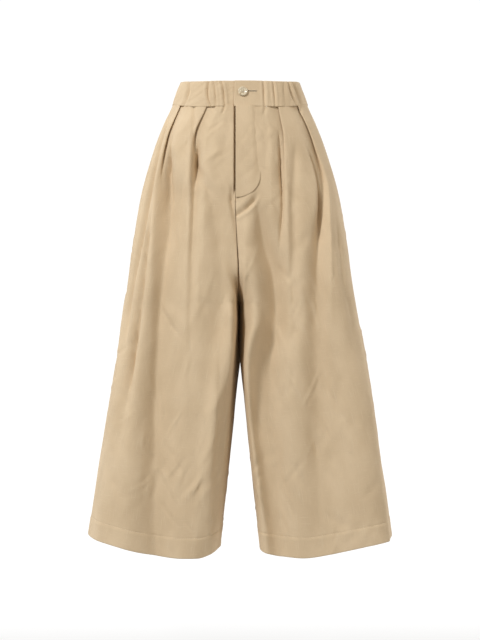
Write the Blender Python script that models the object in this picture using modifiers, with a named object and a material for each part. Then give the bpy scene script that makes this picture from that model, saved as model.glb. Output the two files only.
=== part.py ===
"""Wide-leg palazzo pants, held open as when worn, standing clear of any floor.

The frame: the origin is the centre of the waist opening, halfway up the waistband, +Z is up,
the wearer faces -Y and the wearer's left is +X. Sizes below are in millimetres.

Every cloth piece is a wall of even thickness on one shared form: a ring for each leg, cut at the
centre seam above the crotch, with the pleats, folds and gathers laid on it along its normal.
"""

import math

import bpy
import numpy as np

MM = 0.001
SEAM_GAP = 0.3
CHORD_SLACK = 0.15

# Waistband
BAND_TOP = 25.0
BAND_BOTTOM = -25.0
BAND_WALL = 3.0
BAND_SEAM_GAP = 0.7
BAND_LEVELS = (BAND_TOP, 0.0, BAND_BOTTOM)
BAND_COLUMNS = 152
BAND_OUTER_END_X = -10.5
BAND_UNDER_END_X = 28.0
BAND_TUCK_STARTS = 64.0
BAND_TUCK_ENDS = 46.0
TOP_SIDE_RISE = 8.0
SEAM_SIDE_RISE = 14.0
SIDE_RISE_FADES = -140.0

# Legs
CLOTH_WALL = 1.3
CROTCH = -402.0
HEM = -871.0
HEM_DEPTH = 38.0
HEM_WALL = 2.4
HEM_SIDE_LIFT = 34.0
HEM_INNER_LIFT = 9.0
HEM_LOWEST_X = 110.0
HEM_INNER_LOWEST_X = 78.0
HEM_LIFTED_SHARE = 1.03
HEM_LIFT_POWER = 2.5
SIDE_RISE_POWER = 5
LEG_NESTLE = 3.0
LEG_NESTLE_PERIOD = 240.0
LEG_NESTLE_WIDTH = 55.0
LEG_NESTLE_GROWS = (-290.0, -380.0)
LEG_NESTLE_FADES = (-470.0, -640.0)

# Fly
FLY_EDGE_X = -8.2
FLY_WIDTH_TOP = 38.0
FLY_WIDTH_LOW = 48.0
FLY_BOTTOM = -198.0
FLY_CURVE_RISE = 42.0
FLY_WALL = 1.2
SHIELD_LEFT_X = -27.0
SHIELD_RIGHT_X = 22.0
SHIELD_TOP = -28.0
SHIELD_BOTTOM = -180.0
SHIELD_WALL = 1.0
SLIT_ROLL = 4.2
SLIT_ROLL_WIDTH = 18.0
SLIT_ROLL_FLAT = 3.0
SLIT_ROLL_FADES = (-165.0, -196.0)

# Button
BUTTON_X = 5.5
BUTTON_Z = 4.0
BUTTON_DIAMETER = 18.5
BUTTON_THICKNESS = 3.4
BUTTON_HOLE_DIAMETER = 1.9
BUTTON_HOLE_SPACING = 3.4
BUTTON_STEPS = 30

CLOTH_COLOUR = (0.66, 0.51, 0.34)
BUTTON_COLOUR = (0.72, 0.62, 0.46)


def table(columns, *rows):
    """Rows of numbers under named columns."""
    return [dict(zip(columns.split(), row)) for row in rows]


# A leg's form at each level: the side seam's distance from the centre plane, the inner edge's
# (negative where the two legs' forms run into each other), the half depths front and back, and
# the exponent of the rounded outline, which is flatter in front where it is higher.
SECTIONS = table(
    "level outer inner front back roundness",
    (30, 113, -113, 93, 93, 2.35),
    (0, 122, -122, 97, 98, 2.35),
    (-25, 130.5, -130, 101, 104, 2.35),
    (-60, 148, -144, 107, 112, 2.4),
    (-100, 165.5, -150, 113, 120, 2.45),
    (-150, 182, -146, 119, 128, 2.5),
    (-200, 194, -124, 123, 133, 2.6),
    (-260, 204, -80, 127, 135, 2.7),
    (-305, 210.5, -45, 130, 136, 2.8),
    (-340, 214, -21, 132, 137, 2.85),
    (-367, 217, -7, 134, 137, 2.9),
    (-387, 219.5, -1.2, 135, 137, 2.9),
    (CROTCH, 221.5, 0.85, 135.5, 137.5, 2.9),
    (-475, 232, 0.9, 139, 139, 3.0),
    (-600, 252.5, 10.5, 143, 142, 3.1),
    (-740, 274, 24.5, 147, 146, 3.15),
    (HEM, 291.5, 38.5, 150, 150, 3.2),
)

# The centre front seam: the fly's edge, then a curve on to the centre plane at the crotch.
CENTRE_SEAM = table(
    "level x",
    (30, FLY_EDGE_X),
    (-210, FLY_EDGE_X),
    (-300, -4.5),
    (CROTCH, 0),
    (HEM, 0),
)

# The knife pleats of each front, from the side seam inwards. The x columns place the visible fold
# edge at the waist seam, the hip, below it and the hem. The cloth runs back beneath the edge by
# "under" at the waist seam and by nothing at the level "ends". A lip and a soft trough go on
# below, "trough" deep there and "hem_trough" deep at the hem.
PLEAT_COLUMNS = "waist hip low hem under ends lip trough hem_trough"
PLEATS = {
    "right": table(
        PLEAT_COLUMNS,
        (115, 141, 155, 176, 27, -225, 3, 9, 0),
        (64, 85, 90, 104, 25, -165, 2.5, 7, 0),
    ),
    "left": table(
        PLEAT_COLUMNS,
        (111, 138, 158, 162, 27, -245, 3, 8, 0),
        (73, 79.5, 81, 92, 25, -250, 1.5, 3, 0),
    ),
}
PLEAT_LEVELS = (BAND_BOTTOM, -90.0, -180.0, HEM)
PLEAT_PITCH = 2.7
PLEAT_BEFORE = 12.0
PLEAT_AFTER = 26.0
PLEAT_MESH_COLUMNS = 13
PLAIN_MESH_COLUMNS = (9, 7, 13)
PLEAT_WIDENING = 0.9

# Soft folds, each a line down the cloth: its bottom's distance from the centre plane, its depth
# (a ridge's is negative), and its widths on the side seam's side and on the centre's side.
FOLD_COLUMNS = "level x depth outer inner"
FRONT_FOLDS = {
    "right": {
        "outer trough": table(
            FOLD_COLUMNS,
            (-110, 140, 0, 8, 12),
            (-150, 142, 6, 9, 22),
            (-203, 138, 12, 16, 30),
            (-277, 142, 15, 18, 30),
            (-352, 143, 16, 20, 34),
            (-428, 149, 16, 20, 34),
            (-522, 152, 14, 20, 36),
            (-616, 156, 13, 20, 38),
            (-740, 158, 11, 20, 40),
            (HEM, 158, 9, 20, 40),
        ),
        "inner pleat's fork": table(
            FOLD_COLUMNS,
            (-130, 84, 0, 6, 6),
            (-165, 68, 5, 9, 12),
            (-203, 52, 6, 13, 20),
            (-277, 40, 7, 16, 22),
            (-352, 30, 4, 16, 18),
            (-420, 25, 0, 16, 18),
        ),
    },
    "left": {
        "inner trough": table(
            FOLD_COLUMNS,
            (-200, 32, 0, 6, 6),
            (-225, 40, 6, 12, 12),
            (-277, 57, 15, 30, 22),
            (-352, 71, 19, 35, 30),
            (-428, 64, 20, 42, 28),
            (-522, 50, 20, 45, 30),
            (-616, 46, 20, 45, 30),
            (-740, 58, 17, 45, 30),
            (HEM, 62, 12, 45, 30),
        ),
        "ridge beside the seam": table(
            FOLD_COLUMNS,
            (-215, 14, 0, 10, 8),
            (-250, 14, -3, 12, 10),
            (-300, 15, -6, 16, 10),
            (-352, 16, -7, 16, 10),
            (-428, 14, -5, 16, 10),
            (-500, 12, 0, 14, 8),
        ),
        "middle dip": table(
            FOLD_COLUMNS,
            (-90, 104, 0, 7, 7),
            (-127, 104, 4, 8, 8),
            (-203, 101, 5, 9, 9),
            (-277, 102, 6, 10, 10),
            (-352, 99, 5, 10, 10),
            (-480, 108, 0, 10, 10),
        ),
        "outer trough": table(
            FOLD_COLUMNS,
            (-180, 150, 0, 5, 12),
            (-277, 148, 9, 8, 22),
            (-352, 144, 10, 9, 20),
            (-428, 140, 10, 9, 20),
            (-522, 144, 9, 14, 26),
            (-616, 146, 8, 18, 24),
            (-740, 150, 6, 22, 24),
            (HEM, 150, 4, 24, 24),
        ),
    },
}
BACK_FOLDS = {
    "outer trough": table(
        FOLD_COLUMNS,
        (-120, 146, 0, 10, 12),
        (-200, 150, 6, 14, 18),
        (-340, 162, 10, 17, 24),
        (-520, 182, 11, 20, 30),
        (-720, 200, 9, 22, 34),
        (HEM, 212, 7, 22, 34),
    ),
    "middle trough": table(
        FOLD_COLUMNS,
        (-160, 94, 0, 14, 10),
        (-260, 100, 6, 20, 14),
        (-430, 112, 10, 30, 18),
        (-640, 124, 10, 34, 20),
        (HEM, 132, 8, 36, 22),
    ),
    "seat dip": table(
        FOLD_COLUMNS,
        (-110, 48, 0, 9, 9),
        (-200, 54, 5, 12, 12),
        (-310, 64, 5, 14, 14),
        (-430, 74, 0, 14, 14),
    ),
    "inner ridge": table(
        FOLD_COLUMNS,
        (-420, 72, 0, 16, 12),
        (-560, 80, -4, 20, 14),
        (-740, 88, -5, 22, 15),
        (HEM, 94, -3, 22, 15),
    ),
}
BACK_MESH_COLUMNS = 34
BACK_GATHERS = 9
BACK_GATHER_DEPTH = 3.2
BACK_GATHER_WIDTH = 8.5
BACK_GATHER_LENGTH = 120.0
BACK_SEAM_MARGIN = 12.0

# Gathers of the elastic band: those that show at the front, and an even run round the back.
FRONT_GATHERS = table(
    "x width depth",
    (-98, 4.0, 2.6),
    (-61, 3.8, 2.6),
    (-33, 3.8, 2.2),
    (47, 4.0, 1.8),
    (64, 3.8, 2.2),
    (92, 3.8, 2.4),
    (104, 3.8, 2.4),
)
REAR_GATHERS = 24
REAR_GATHERS_START = 0.22
REAR_GATHERS_STOP = 0.76
REAR_GATHER_WIDTH = 4.4
REAR_GATHER_DEPTH = 2.6

FRONT_LEVELS = (-25, -48, -76, -110, -148, -188, -230, -275, -315, -348, -374, -392, -405)
FRONT_LEVELS += (-480, -600, -720, HEM + HEM_DEPTH, HEM)
BACK_LEVELS = (-25, -52, -92, -140, -195, -255, -310, -350, -378, -396, -405)
BACK_LEVELS += (-480, -600, -720, HEM + HEM_DEPTH, HEM)
HEM_ROWS = 2
RING_SAMPLES = 361


def smoothstep(value, low, high):
    share = np.clip((value - low) / (high - low), 0.0, 1.0)
    return share * share * (3.0 - 2.0 * share)


def by_level(rows, column, level):
    """A table's column read at a level, on a smooth curve that stays within its rows' values.

    The slope at a row is the harmonic mean of the slopes beside it, or zero at a turn.
    """
    down = -np.array([row["level"] for row in rows], float)
    values = np.array([row[column] for row in rows], float)
    between = np.diff(values) / np.diff(down)
    product = between[:-1] * between[1:]
    total = np.where(product > 0, between[:-1] + between[1:], 1.0)
    inner_slopes = np.where(product > 0, 2 * product / total, 0.0)
    slopes = np.concatenate([between[:1], inner_slopes, between[-1:]])
    at = np.clip(-np.asarray(level, float), down[0], down[-1])
    i = np.clip(np.searchsorted(down, at) - 1, 0, len(down) - 2)
    step = down[i + 1] - down[i]
    t = (at - down[i]) / step
    return (
        (2 * t**3 - 3 * t**2 + 1) * values[i]
        + (t**3 - 2 * t**2 + t) * step * slopes[i]
        + (3 * t**2 - 2 * t**3) * values[i + 1]
        + (t**3 - t**2) * step * slopes[i + 1]
    )


def read_rows(places, keys, values):
    """Each row's values read at its places, where keys rise along the row."""
    return np.array([np.interp(place, key, value) for place, key, value in zip(places, keys, values)])


class HalfRing:
    """The front or back half of one leg's form at several levels, drawn on the +X side.

    A point is placed by its arc length from the side seam, and moved along the outward normal.
    """

    def __init__(self, levels, facing):
        self.levels = np.asarray(levels, float)
        outer = by_level(SECTIONS, "outer", self.levels)[:, None]
        inner = by_level(SECTIONS, "inner", self.levels)[:, None]
        depth = by_level(SECTIONS, "front" if facing < 0 else "back", self.levels)[:, None]
        turn = np.linspace(0.0, math.pi, RING_SAMPLES)[None, :]
        power = by_level(SECTIONS, "roundness", self.levels)[:, None]
        across = np.abs(np.cos(turn) / (outer - inner) * 2) ** power
        along = np.abs(np.sin(turn) / depth) ** power
        reach = (across + along) ** (-1.0 / power)
        self.x = (outer + inner) / 2 + reach * np.cos(turn)
        self.y = facing * reach * np.sin(turn)
        steps = np.hypot(np.diff(self.x, axis=1), np.diff(self.y, axis=1))
        self.arc = np.pad(np.cumsum(steps, axis=1), ((0, 0), (1, 0)))
        slope_x = np.gradient(self.x, axis=1)
        slope_y = np.gradient(self.y, axis=1)
        length = np.hypot(slope_x, slope_y)
        self.normal_x = facing * slope_y / length
        self.normal_y = -facing * slope_x / length

    def arc_at_x(self, x):
        """The arc length where the half ring stands at x, one for each level."""
        x = np.broadcast_to(np.asarray(x, float), self.levels.shape)
        return read_rows(x[:, None], self.x[:, ::-1], self.arc[:, ::-1])[:, 0]

    def cloth_end(self, seam_x):
        """The arc length where the cloth stops: at the centre seam, or at the inseam below it."""
        end = self.arc_at_x(seam_x)
        lean = np.abs(read_rows(end[:, None], self.arc, self.normal_x)[:, 0])
        end = self.arc_at_x(seam_x + SEAM_GAP / 2 + lean * CLOTH_WALL / 2)
        return np.minimum(end, self.arc[:, -1] - SEAM_GAP / 2)

    def place(self, arc, lift):
        """Points at these arc lengths, moved out by lift."""
        x = read_rows(arc, self.arc, self.x)
        y = read_rows(arc, self.arc, self.y)
        normal_x = read_rows(arc, self.arc, self.normal_x)
        normal_y = read_rows(arc, self.arc, self.normal_y)
        return x + lift * normal_x, y + lift * normal_y


def front_y(x, level):
    """Where the form's front stands near the centre plane."""
    outer = by_level(SECTIONS, "outer", level)
    inner = by_level(SECTIONS, "inner", level)
    depth = by_level(SECTIONS, "front", level)
    power = by_level(SECTIONS, "roundness", level)
    away = np.abs((np.abs(x) - (outer + inner) / 2) / ((outer - inner) / 2))
    return -depth * (1 - away**power) ** (1 / power)


def side_share(x, level):
    """How near x is to the side seam: small over most of the front, and 1 at the seam."""
    return np.clip(np.abs(x) / by_level(SECTIONS, "outer", level), 0, 1) ** SIDE_RISE_POWER


def seam_rise(x, level):
    """How far the waist seam, and the cloth below it, climb towards the side seams."""
    return SEAM_SIDE_RISE * side_share(x, level) * smoothstep(level, SIDE_RISE_FADES, BAND_BOTTOM)


def hem_lift(x, level):
    """The hem climbs towards the side seam and the inseam, where the cloth hangs from further out."""
    outer = by_level(SECTIONS, "outer", level)
    inner = by_level(SECTIONS, "inner", level)
    towards_side = smoothstep(x, HEM_LOWEST_X, HEM_LIFTED_SHARE * outer)
    towards_inseam = smoothstep(-x, -HEM_INNER_LOWEST_X, -inner)
    lift = HEM_SIDE_LIFT * towards_side + HEM_INNER_LIFT * towards_inseam
    return lift * np.clip(level / HEM, 0, 1) ** HEM_LIFT_POWER


def nestle(x, y, level):
    """The sideways lean that lets one leg's inner front lie over the other's below the crotch."""
    grown = 1 - smoothstep(level, *reversed(LEG_NESTLE_GROWS))
    left = smoothstep(level, *reversed(LEG_NESTLE_FADES))
    near = np.exp(-((x / LEG_NESTLE_WIDTH) ** 2))
    return LEG_NESTLE * np.sin(2 * math.pi * y / LEG_NESTLE_PERIOD) * near * grown * left


def slit_roll(level, x):
    """How far the right front rolls in beside the fly's slit."""
    upper = smoothstep(level, *reversed(SLIT_ROLL_FADES))
    return -SLIT_ROLL * upper * smoothstep(x, FLY_EDGE_X - SLIT_ROLL_WIDTH, FLY_EDGE_X - SLIT_ROLL_FLAT)


def fold_lift(ring, arc, folds):
    """How far the soft folds move the cloth in or out at each point."""
    lift = np.zeros_like(arc)
    for rows in folds.values():
        centre = ring.arc_at_x(by_level(rows, "x", ring.levels))[:, None]
        depth = by_level(rows, "depth", ring.levels)[:, None]
        outer = by_level(rows, "outer", ring.levels)[:, None]
        inner = by_level(rows, "inner", ring.levels)[:, None]
        away = arc - centre
        lift -= depth * np.exp(-((away / np.where(away > 0, inner, outer)) ** 2))
    return lift


def gather_lift(ring, arc, end):
    """Gathers that the elastic waist pushes into the top of a back panel."""
    lift = np.zeros_like(arc)
    for k in range(BACK_GATHERS):
        share = (k + 0.5 + 0.22 * math.sin(2.4 * k)) / BACK_GATHERS
        length = BACK_GATHER_LENGTH * (1 + 0.45 * math.sin(1.7 * k + 1))
        fade = smoothstep(ring.levels, BAND_BOTTOM - length, BAND_BOTTOM + 5)[:, None]
        across = np.exp(-(((arc - share * end[:, None]) / BACK_GATHER_WIDTH) ** 2))
        lift -= BACK_GATHER_DEPTH * fade * across
    return lift


def spline_weights(controls, columns):
    """A smooth cubic curve's weights on its control points, at even steps from first to last."""
    weights = np.zeros((columns, controls + 2))
    place = np.linspace(0.0, controls - 1, columns)
    i = np.minimum(place.astype(int), controls - 2)
    t = place - i
    basis = ((1 - t) ** 3, 3 * t**3 - 6 * t**2 + 4, -3 * t**3 + 3 * t**2 + 3 * t + 1, t**3)
    for offset, values in enumerate(basis):
        weights[np.arange(columns), i + offset] += values / 6
    first, last = weights[:, :1], weights[:, -1:]
    inside = weights[:, 1:-1].copy()
    inside[:, :2] += first * (2, -1)
    inside[:, -2:] += last * (-1, 2)
    return inside


def pleat_profile(levels, pleat):
    """A pleat across its mesh columns: the way along the ring from its fold edge, and the lift.

    At the waist seam the cloth runs to the fold edge, back beneath itself and out again. Lower
    down that opens into a lip and a soft trough.
    """
    closed_share = np.clip((levels - pleat["ends"]) / (BAND_BOTTOM - pleat["ends"]), 0, 1)[:, None]
    fall = np.clip((levels - pleat["ends"]) / (HEM - pleat["ends"]), 0, 1)[:, None]
    opened = smoothstep(1 - closed_share, 0, 1)
    under = -pleat["under"] * closed_share
    before, after = -PLEAT_BEFORE, PLEAT_AFTER
    closed_along = [before, 0.66 * before, 0.33 * before, 0, 0.5, 0, 0, 0.12 * after, 0.55 * after, after]
    closed_along = np.array(closed_along) + under * (0, 0, 0, 0, 0, 1, 1, 0, 0, 0)
    closed_lift = -PLEAT_PITCH * (1 + PLEAT_WIDENING * opened) * (0, 0, 0, 0, 1, 1, 2, 2.1, 1, 0)
    open_along = np.array([1, 0.75, 0.5, 0.25, 0, 0, 0, 0, 0, 0]) * before
    open_along += np.array([0, 0, 0, 0, 0.02, 0.14, 0.28, 0.46, 0.72, 1]) * after
    lip = pleat["lip"] * (1 - 0.7 * fall)
    trough = pleat["trough"] + (pleat["hem_trough"] - pleat["trough"]) * fall
    open_lift = lip * (0, 0.4, 1, 0.8, 0, 0, 0, 0, 0, 0)
    open_lift = open_lift - trough * (0, 0, 0, 0, 0.3, 0.8, 1, 0.85, 0.35, 0)
    weights = spline_weights(closed_lift.shape[1], PLEAT_MESH_COLUMNS).T
    along = (1 - opened) * closed_along + opened * open_along
    lift = (1 - opened) * closed_lift + opened * open_lift
    return along @ weights, lift @ weights


def front_columns(ring, pleats, end):
    """The arc length and lift of each of a front's columns, from the side seam to the centre."""
    arcs, lifts = [], []
    start = np.full((len(ring.levels), 1), SEAM_GAP / 2)
    for pleat, count in zip(pleats, PLAIN_MESH_COLUMNS):
        path = [pleat["waist"], pleat["hip"], pleat["low"], pleat["hem"]]
        path = table("level x", *zip(PLEAT_LEVELS, path))
        edge = ring.arc_at_x(by_level(path, "x", ring.levels))[:, None]
        share = np.linspace(0, 1, count, endpoint=False)
        along, lift = pleat_profile(ring.levels, pleat)
        arcs += [start * (1 - share) + (edge - PLEAT_BEFORE) * share, edge + along[:, :-1]]
        lifts += [start * 0 * share, lift[:, :-1]]
        start = edge + PLEAT_AFTER
    share = np.linspace(0, 1, PLAIN_MESH_COLUMNS[-1])
    arcs.append(start * (1 - share) + end[:, None] * share)
    lifts.append(start * 0 * share)
    return np.concatenate(arcs, axis=1), np.concatenate(lifts, axis=1)


def cloth(name, x, y, z, wall, faces_out_left=False, hem_rows=0):
    """A surface through a grid of points, with a Solidify wall that may thicken at the hem."""
    rows, columns = x.shape
    points = np.stack([x, y, z], axis=-1).reshape(-1, 3) * MM
    corner = np.arange(rows - 1)[:, None] * columns + np.arange(columns - 1)
    corner = corner.reshape(-1)
    faces = np.stack([corner, corner + columns, corner + columns + 1, corner + 1], axis=1)
    if faces_out_left:
        faces = faces[:, ::-1]
    mesh = bpy.data.meshes.new(name)
    mesh.from_pydata(points.tolist(), [], faces.tolist())
    mesh.shade_smooth()
    mesh.materials.append(material(name, CLOTH_COLOUR, roughness=0.85))
    piece = bpy.data.objects.new(name, mesh)
    PANTS.objects.link(piece)
    solid = piece.modifiers.new("cloth wall", "SOLIDIFY")
    solid.thickness = wall * MM
    solid.offset = 0.0
    if hem_rows:
        group = piece.vertex_groups.new(name="turned hem")
        group.add(list(range((rows - hem_rows) * columns, rows * columns)), 1.0, "REPLACE")
        solid.vertex_group = group.name
        solid.thickness = HEM_WALL * MM
        solid.thickness_vertex_group = wall / HEM_WALL


def material(name, colour, roughness):
    made = bpy.data.materials.new(name)
    made.use_nodes = True
    shader = made.node_tree.nodes["Principled BSDF"]
    shader.inputs["Base Color"].default_value = (*colour, 1.0)
    shader.inputs["Roughness"].default_value = roughness
    shader.inputs["Metallic"].default_value = 0.0
    return made


def panel(name, ring, arc, lift, side):
    """A leg panel through its columns, mirrored to its own side of the centre plane."""
    x, y = ring.place(arc, lift)
    level = np.broadcast_to(ring.levels[:, None], x.shape)
    z = level - BAND_SEAM_GAP * (level >= BAND_BOTTOM) + seam_rise(x, level) + hem_lift(x, level)
    x = x * side
    x = x + nestle(x, y, level)
    out_left = (side > 0) == (y.mean() < 0)
    cloth(name, x, y, z, CLOTH_WALL, faces_out_left=out_left, hem_rows=HEM_ROWS)


def front_panel(hand, side):
    ring = HalfRing(FRONT_LEVELS, facing=-1)
    end = ring.cloth_end(by_level(CENTRE_SEAM, "x", ring.levels) * side)
    arc, lift = front_columns(ring, PLEATS[hand], end)
    lift = lift + fold_lift(ring, arc, FRONT_FOLDS[hand])
    if hand == "right":
        x, _ = ring.place(arc, 0)
        lift = lift + slit_roll(ring.levels[:, None], -x)
    panel(f"front_panel_{hand}", ring, arc, lift, side)


def back_panel(hand, side):
    ring = HalfRing(BACK_LEVELS, facing=1)
    end = ring.cloth_end(0.0)
    share = np.linspace(0, 1, BACK_MESH_COLUMNS)
    arc = SEAM_GAP / 2 * (1 - share) + end[:, None] * share
    lift = fold_lift(ring, arc, BACK_FOLDS) + gather_lift(ring, arc, end)
    from_side = smoothstep(arc, 0.0, BACK_SEAM_MARGIN)
    from_centre = smoothstep(end[:, None] - arc, 0.0, BACK_SEAM_MARGIN)
    lift = lift * from_side * from_centre
    panel(f"back_panel_{hand}", ring, arc, lift, side)


def band_ring(level):
    """The waistband's line at each level, from its outer end round the wearer to its under end."""
    front = by_level(SECTIONS, "front", 0.0)
    start = math.asin(BAND_OUTER_END_X / front)
    stop = 2 * math.pi + math.asin(BAND_UNDER_END_X / front)
    turn = np.linspace(start, stop, BAND_COLUMNS)
    front_depth = by_level(SECTIONS, "front", level)
    back_depth = by_level(SECTIONS, "back", level)
    depth = np.where(np.cos(turn) > 0, front_depth, back_depth)
    power = by_level(SECTIONS, "roundness", level)
    across = np.abs(np.sin(turn) / by_level(SECTIONS, "outer", level)) ** power
    along = np.abs(np.cos(turn) / depth) ** power
    reach = (across + along) ** (-1 / power)
    return reach * np.sin(turn), -reach * np.cos(turn)


def band_gathers(x, y, arc, level):
    """How far the elastic's gathers pull the waistband in at each point."""
    lift = np.zeros_like(x)
    widening = by_level(SECTIONS, "outer", level) / by_level(SECTIONS, "outer", 0.0)
    for gather in FRONT_GATHERS:
        away = x - gather["x"] * widening
        lift -= gather["depth"] * np.exp(-((away / gather["width"]) ** 2)) * (y < 0)
    whole = arc[:, -1:]
    for k in range(REAR_GATHERS):
        place = (k + 0.5 + 0.25 * math.sin(2.1 * k)) / REAR_GATHERS
        place = REAR_GATHERS_START + (REAR_GATHERS_STOP - REAR_GATHERS_START) * place
        depth = REAR_GATHER_DEPTH * (0.75 + 0.25 * math.sin(3.3 * k))
        lift -= depth * np.exp(-(((arc - place * whole) / REAR_GATHER_WIDTH) ** 2))
    return lift


def waistband():
    """One strip from its outer end over the slit, round the wearer, to its end beneath that."""
    level = np.array(BAND_LEVELS)[:, None]
    x, y = band_ring(level)
    slope_x = np.gradient(x, axis=1)
    slope_y = np.gradient(y, axis=1)
    length = np.hypot(slope_x, slope_y)
    steps = np.hypot(np.diff(x, axis=1), np.diff(y, axis=1))
    arc = np.pad(np.cumsum(steps, axis=1), ((0, 0), (1, 0)))
    tucked = 1 - smoothstep(arc[:, -1:] - arc, BAND_TUCK_ENDS, BAND_TUCK_STARTS)
    lift = band_gathers(x, y, arc, level) - (BAND_WALL + SEAM_GAP + CHORD_SLACK) * tucked
    fall = (BAND_TOP - level) / (BAND_TOP - BAND_BOTTOM)
    rise = TOP_SIDE_RISE + (SEAM_SIDE_RISE - TOP_SIDE_RISE) * fall
    z = level + rise * side_share(x, level)
    cloth("waistband", x + lift * slope_y / length, y - lift * slope_x / length, z, BAND_WALL)


def fly_flap(rows=13, columns=8):
    """The flap with the rounded lower end, lying on the left front from the slit outwards."""
    share = np.linspace(0, 1, columns)
    bottom = FLY_BOTTOM + FLY_CURVE_RISE * (1 - np.cos(share * math.pi / 2))
    top = BAND_BOTTOM - BAND_SEAM_GAP
    z = top + (bottom - top) * np.linspace(0, 1, rows)[:, None]
    width = FLY_WIDTH_TOP + (FLY_WIDTH_LOW - FLY_WIDTH_TOP) * (top - z) / (top - FLY_BOTTOM)
    x = FLY_EDGE_X + width * np.sin(share * math.pi / 2)
    lift = (CLOTH_WALL + FLY_WALL) / 2 + SEAM_GAP + CHORD_SLACK
    cloth("fly_flap", x, front_y(x, z) - lift, z, FLY_WALL)


def fly_shield(rows=9, columns=8):
    """The strip behind the slit, which the right front carries."""
    x = np.linspace(SHIELD_LEFT_X, SHIELD_RIGHT_X, columns) * np.ones((rows, 1))
    z = np.linspace(SHIELD_TOP, SHIELD_BOTTOM, rows)[:, None] * np.ones(columns)
    lift = slit_roll(z, x) - (CLOTH_WALL + SHIELD_WALL) / 2 - SEAM_GAP - 4 * CHORD_SLACK
    cloth("fly_shield", x, front_y(x, z) - lift, z, SHIELD_WALL)


def button():
    """A turned button with a raised rim and four holes, lying flat on the waistband."""
    radius, half = BUTTON_DIAMETER / 2, BUTTON_THICKNESS / 2
    profile = table(
        "radius height",
        (0, half - 1.1),
        (radius * 0.52, half - 1.1),
        (radius * 0.66, half - 0.25),
        (radius * 0.8, half),
        (radius * 0.93, half - 0.35),
        (radius, 0),
        (radius * 0.9, 0.4 - half),
        (radius * 0.6, -half),
        (0, -half),
    )
    points = [(row["radius"] * MM, 0.0, row["height"] * MM) for row in profile]
    mesh = bpy.data.meshes.new("button")
    mesh.from_pydata(points, [(i, i + 1) for i in range(len(points) - 1)], [])
    mesh.materials.append(material("button", BUTTON_COLOUR, roughness=0.35))
    turned = bpy.data.objects.new("button", mesh)
    PANTS.objects.link(turned)
    screw = turned.modifiers.new("turning", "SCREW")
    screw.steps = screw.render_steps = BUTTON_STEPS
    screw.use_merge_vertices = True
    screw.merge_threshold = 0.00001
    for i in range(4):
        angle = math.pi / 4 + i * math.pi / 2
        reach = BUTTON_HOLE_SPACING / math.sqrt(2) * MM
        cutter = hole_cutter(f"button hole {i}", reach * math.cos(angle), reach * math.sin(angle))
        cutter.parent = turned
        hole = turned.modifiers.new(cutter.name, "BOOLEAN")
        hole.operation = "DIFFERENCE"
        hole.object = cutter
    reach = BUTTON_DIAMETER / 2
    lean = math.atan2(front_y(BUTTON_X, BUTTON_Z + reach) - front_y(BUTTON_X, BUTTON_Z - reach), 2 * reach)
    out = (BAND_WALL + BUTTON_THICKNESS) / 2 + SEAM_GAP + CHORD_SLACK
    turned.rotation_euler = (math.pi / 2 - lean, 0, 0)
    turned.location = (BUTTON_X * MM, (front_y(BUTTON_X, BUTTON_Z) - out) * MM, BUTTON_Z * MM)


def hole_cutter(name, x, y):
    bpy.ops.mesh.primitive_cylinder_add(
        vertices=10,
        radius=BUTTON_HOLE_DIAMETER / 2 * MM,
        depth=3 * BUTTON_THICKNESS * MM,
        location=(x, y, 0),
    )
    cutter = bpy.context.object
    cutter.name = name
    cutter.hide_render = True
    cutter.display_type = "WIRE"
    for home in list(cutter.users_collection):
        home.objects.unlink(cutter)
    CUTTERS.objects.link(cutter)
    return cutter


def collection(name):
    made = bpy.data.collections.new(name)
    bpy.context.scene.collection.children.link(made)
    return made


for old in list(bpy.data.objects):
    bpy.data.objects.remove(old)
PANTS = collection("palazzo pants")
CUTTERS = collection("cutters")
CUTTERS.hide_render = True
waistband()
for hand, side in (("left", 1), ("right", -1)):
    front_panel(hand, side)
    back_panel(hand, side)
fly_flap()
fly_shield()
button()
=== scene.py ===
import math

import bpy
import numpy as np
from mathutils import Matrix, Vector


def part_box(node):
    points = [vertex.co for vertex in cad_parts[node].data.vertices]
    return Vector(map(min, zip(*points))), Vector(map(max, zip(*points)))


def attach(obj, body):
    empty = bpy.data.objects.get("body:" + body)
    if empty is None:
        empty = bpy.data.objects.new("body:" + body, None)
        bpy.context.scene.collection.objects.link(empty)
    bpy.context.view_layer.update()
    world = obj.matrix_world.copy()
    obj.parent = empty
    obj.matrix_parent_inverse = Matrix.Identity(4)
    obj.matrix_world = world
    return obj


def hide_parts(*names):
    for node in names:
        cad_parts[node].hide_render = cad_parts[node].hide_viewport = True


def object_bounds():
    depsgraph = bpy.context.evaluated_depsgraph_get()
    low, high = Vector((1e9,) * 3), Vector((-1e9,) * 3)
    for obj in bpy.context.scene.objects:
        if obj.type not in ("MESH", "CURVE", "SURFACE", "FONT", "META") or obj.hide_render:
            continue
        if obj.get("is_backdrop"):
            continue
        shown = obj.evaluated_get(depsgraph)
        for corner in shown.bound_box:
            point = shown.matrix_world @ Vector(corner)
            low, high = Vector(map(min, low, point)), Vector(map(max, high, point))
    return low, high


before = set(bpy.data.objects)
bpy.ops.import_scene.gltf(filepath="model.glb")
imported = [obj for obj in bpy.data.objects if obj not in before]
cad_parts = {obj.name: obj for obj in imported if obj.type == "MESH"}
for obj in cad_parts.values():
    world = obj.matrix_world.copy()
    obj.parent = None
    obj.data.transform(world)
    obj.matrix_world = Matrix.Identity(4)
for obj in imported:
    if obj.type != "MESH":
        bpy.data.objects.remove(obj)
cadBox = [list(corner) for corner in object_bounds()]
mm = 0.001

legBox = [np.array(corner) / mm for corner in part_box("front_panel_left")]
bandTop = 25.0
bandBottom = -25.0
hemLevel = legBox[0][2] + 0.1  # the front hem's lowest point
crotchLevel = -402.0
print("frame loaded: hem at", round(float(hemLevel), 1), "mm")


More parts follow.
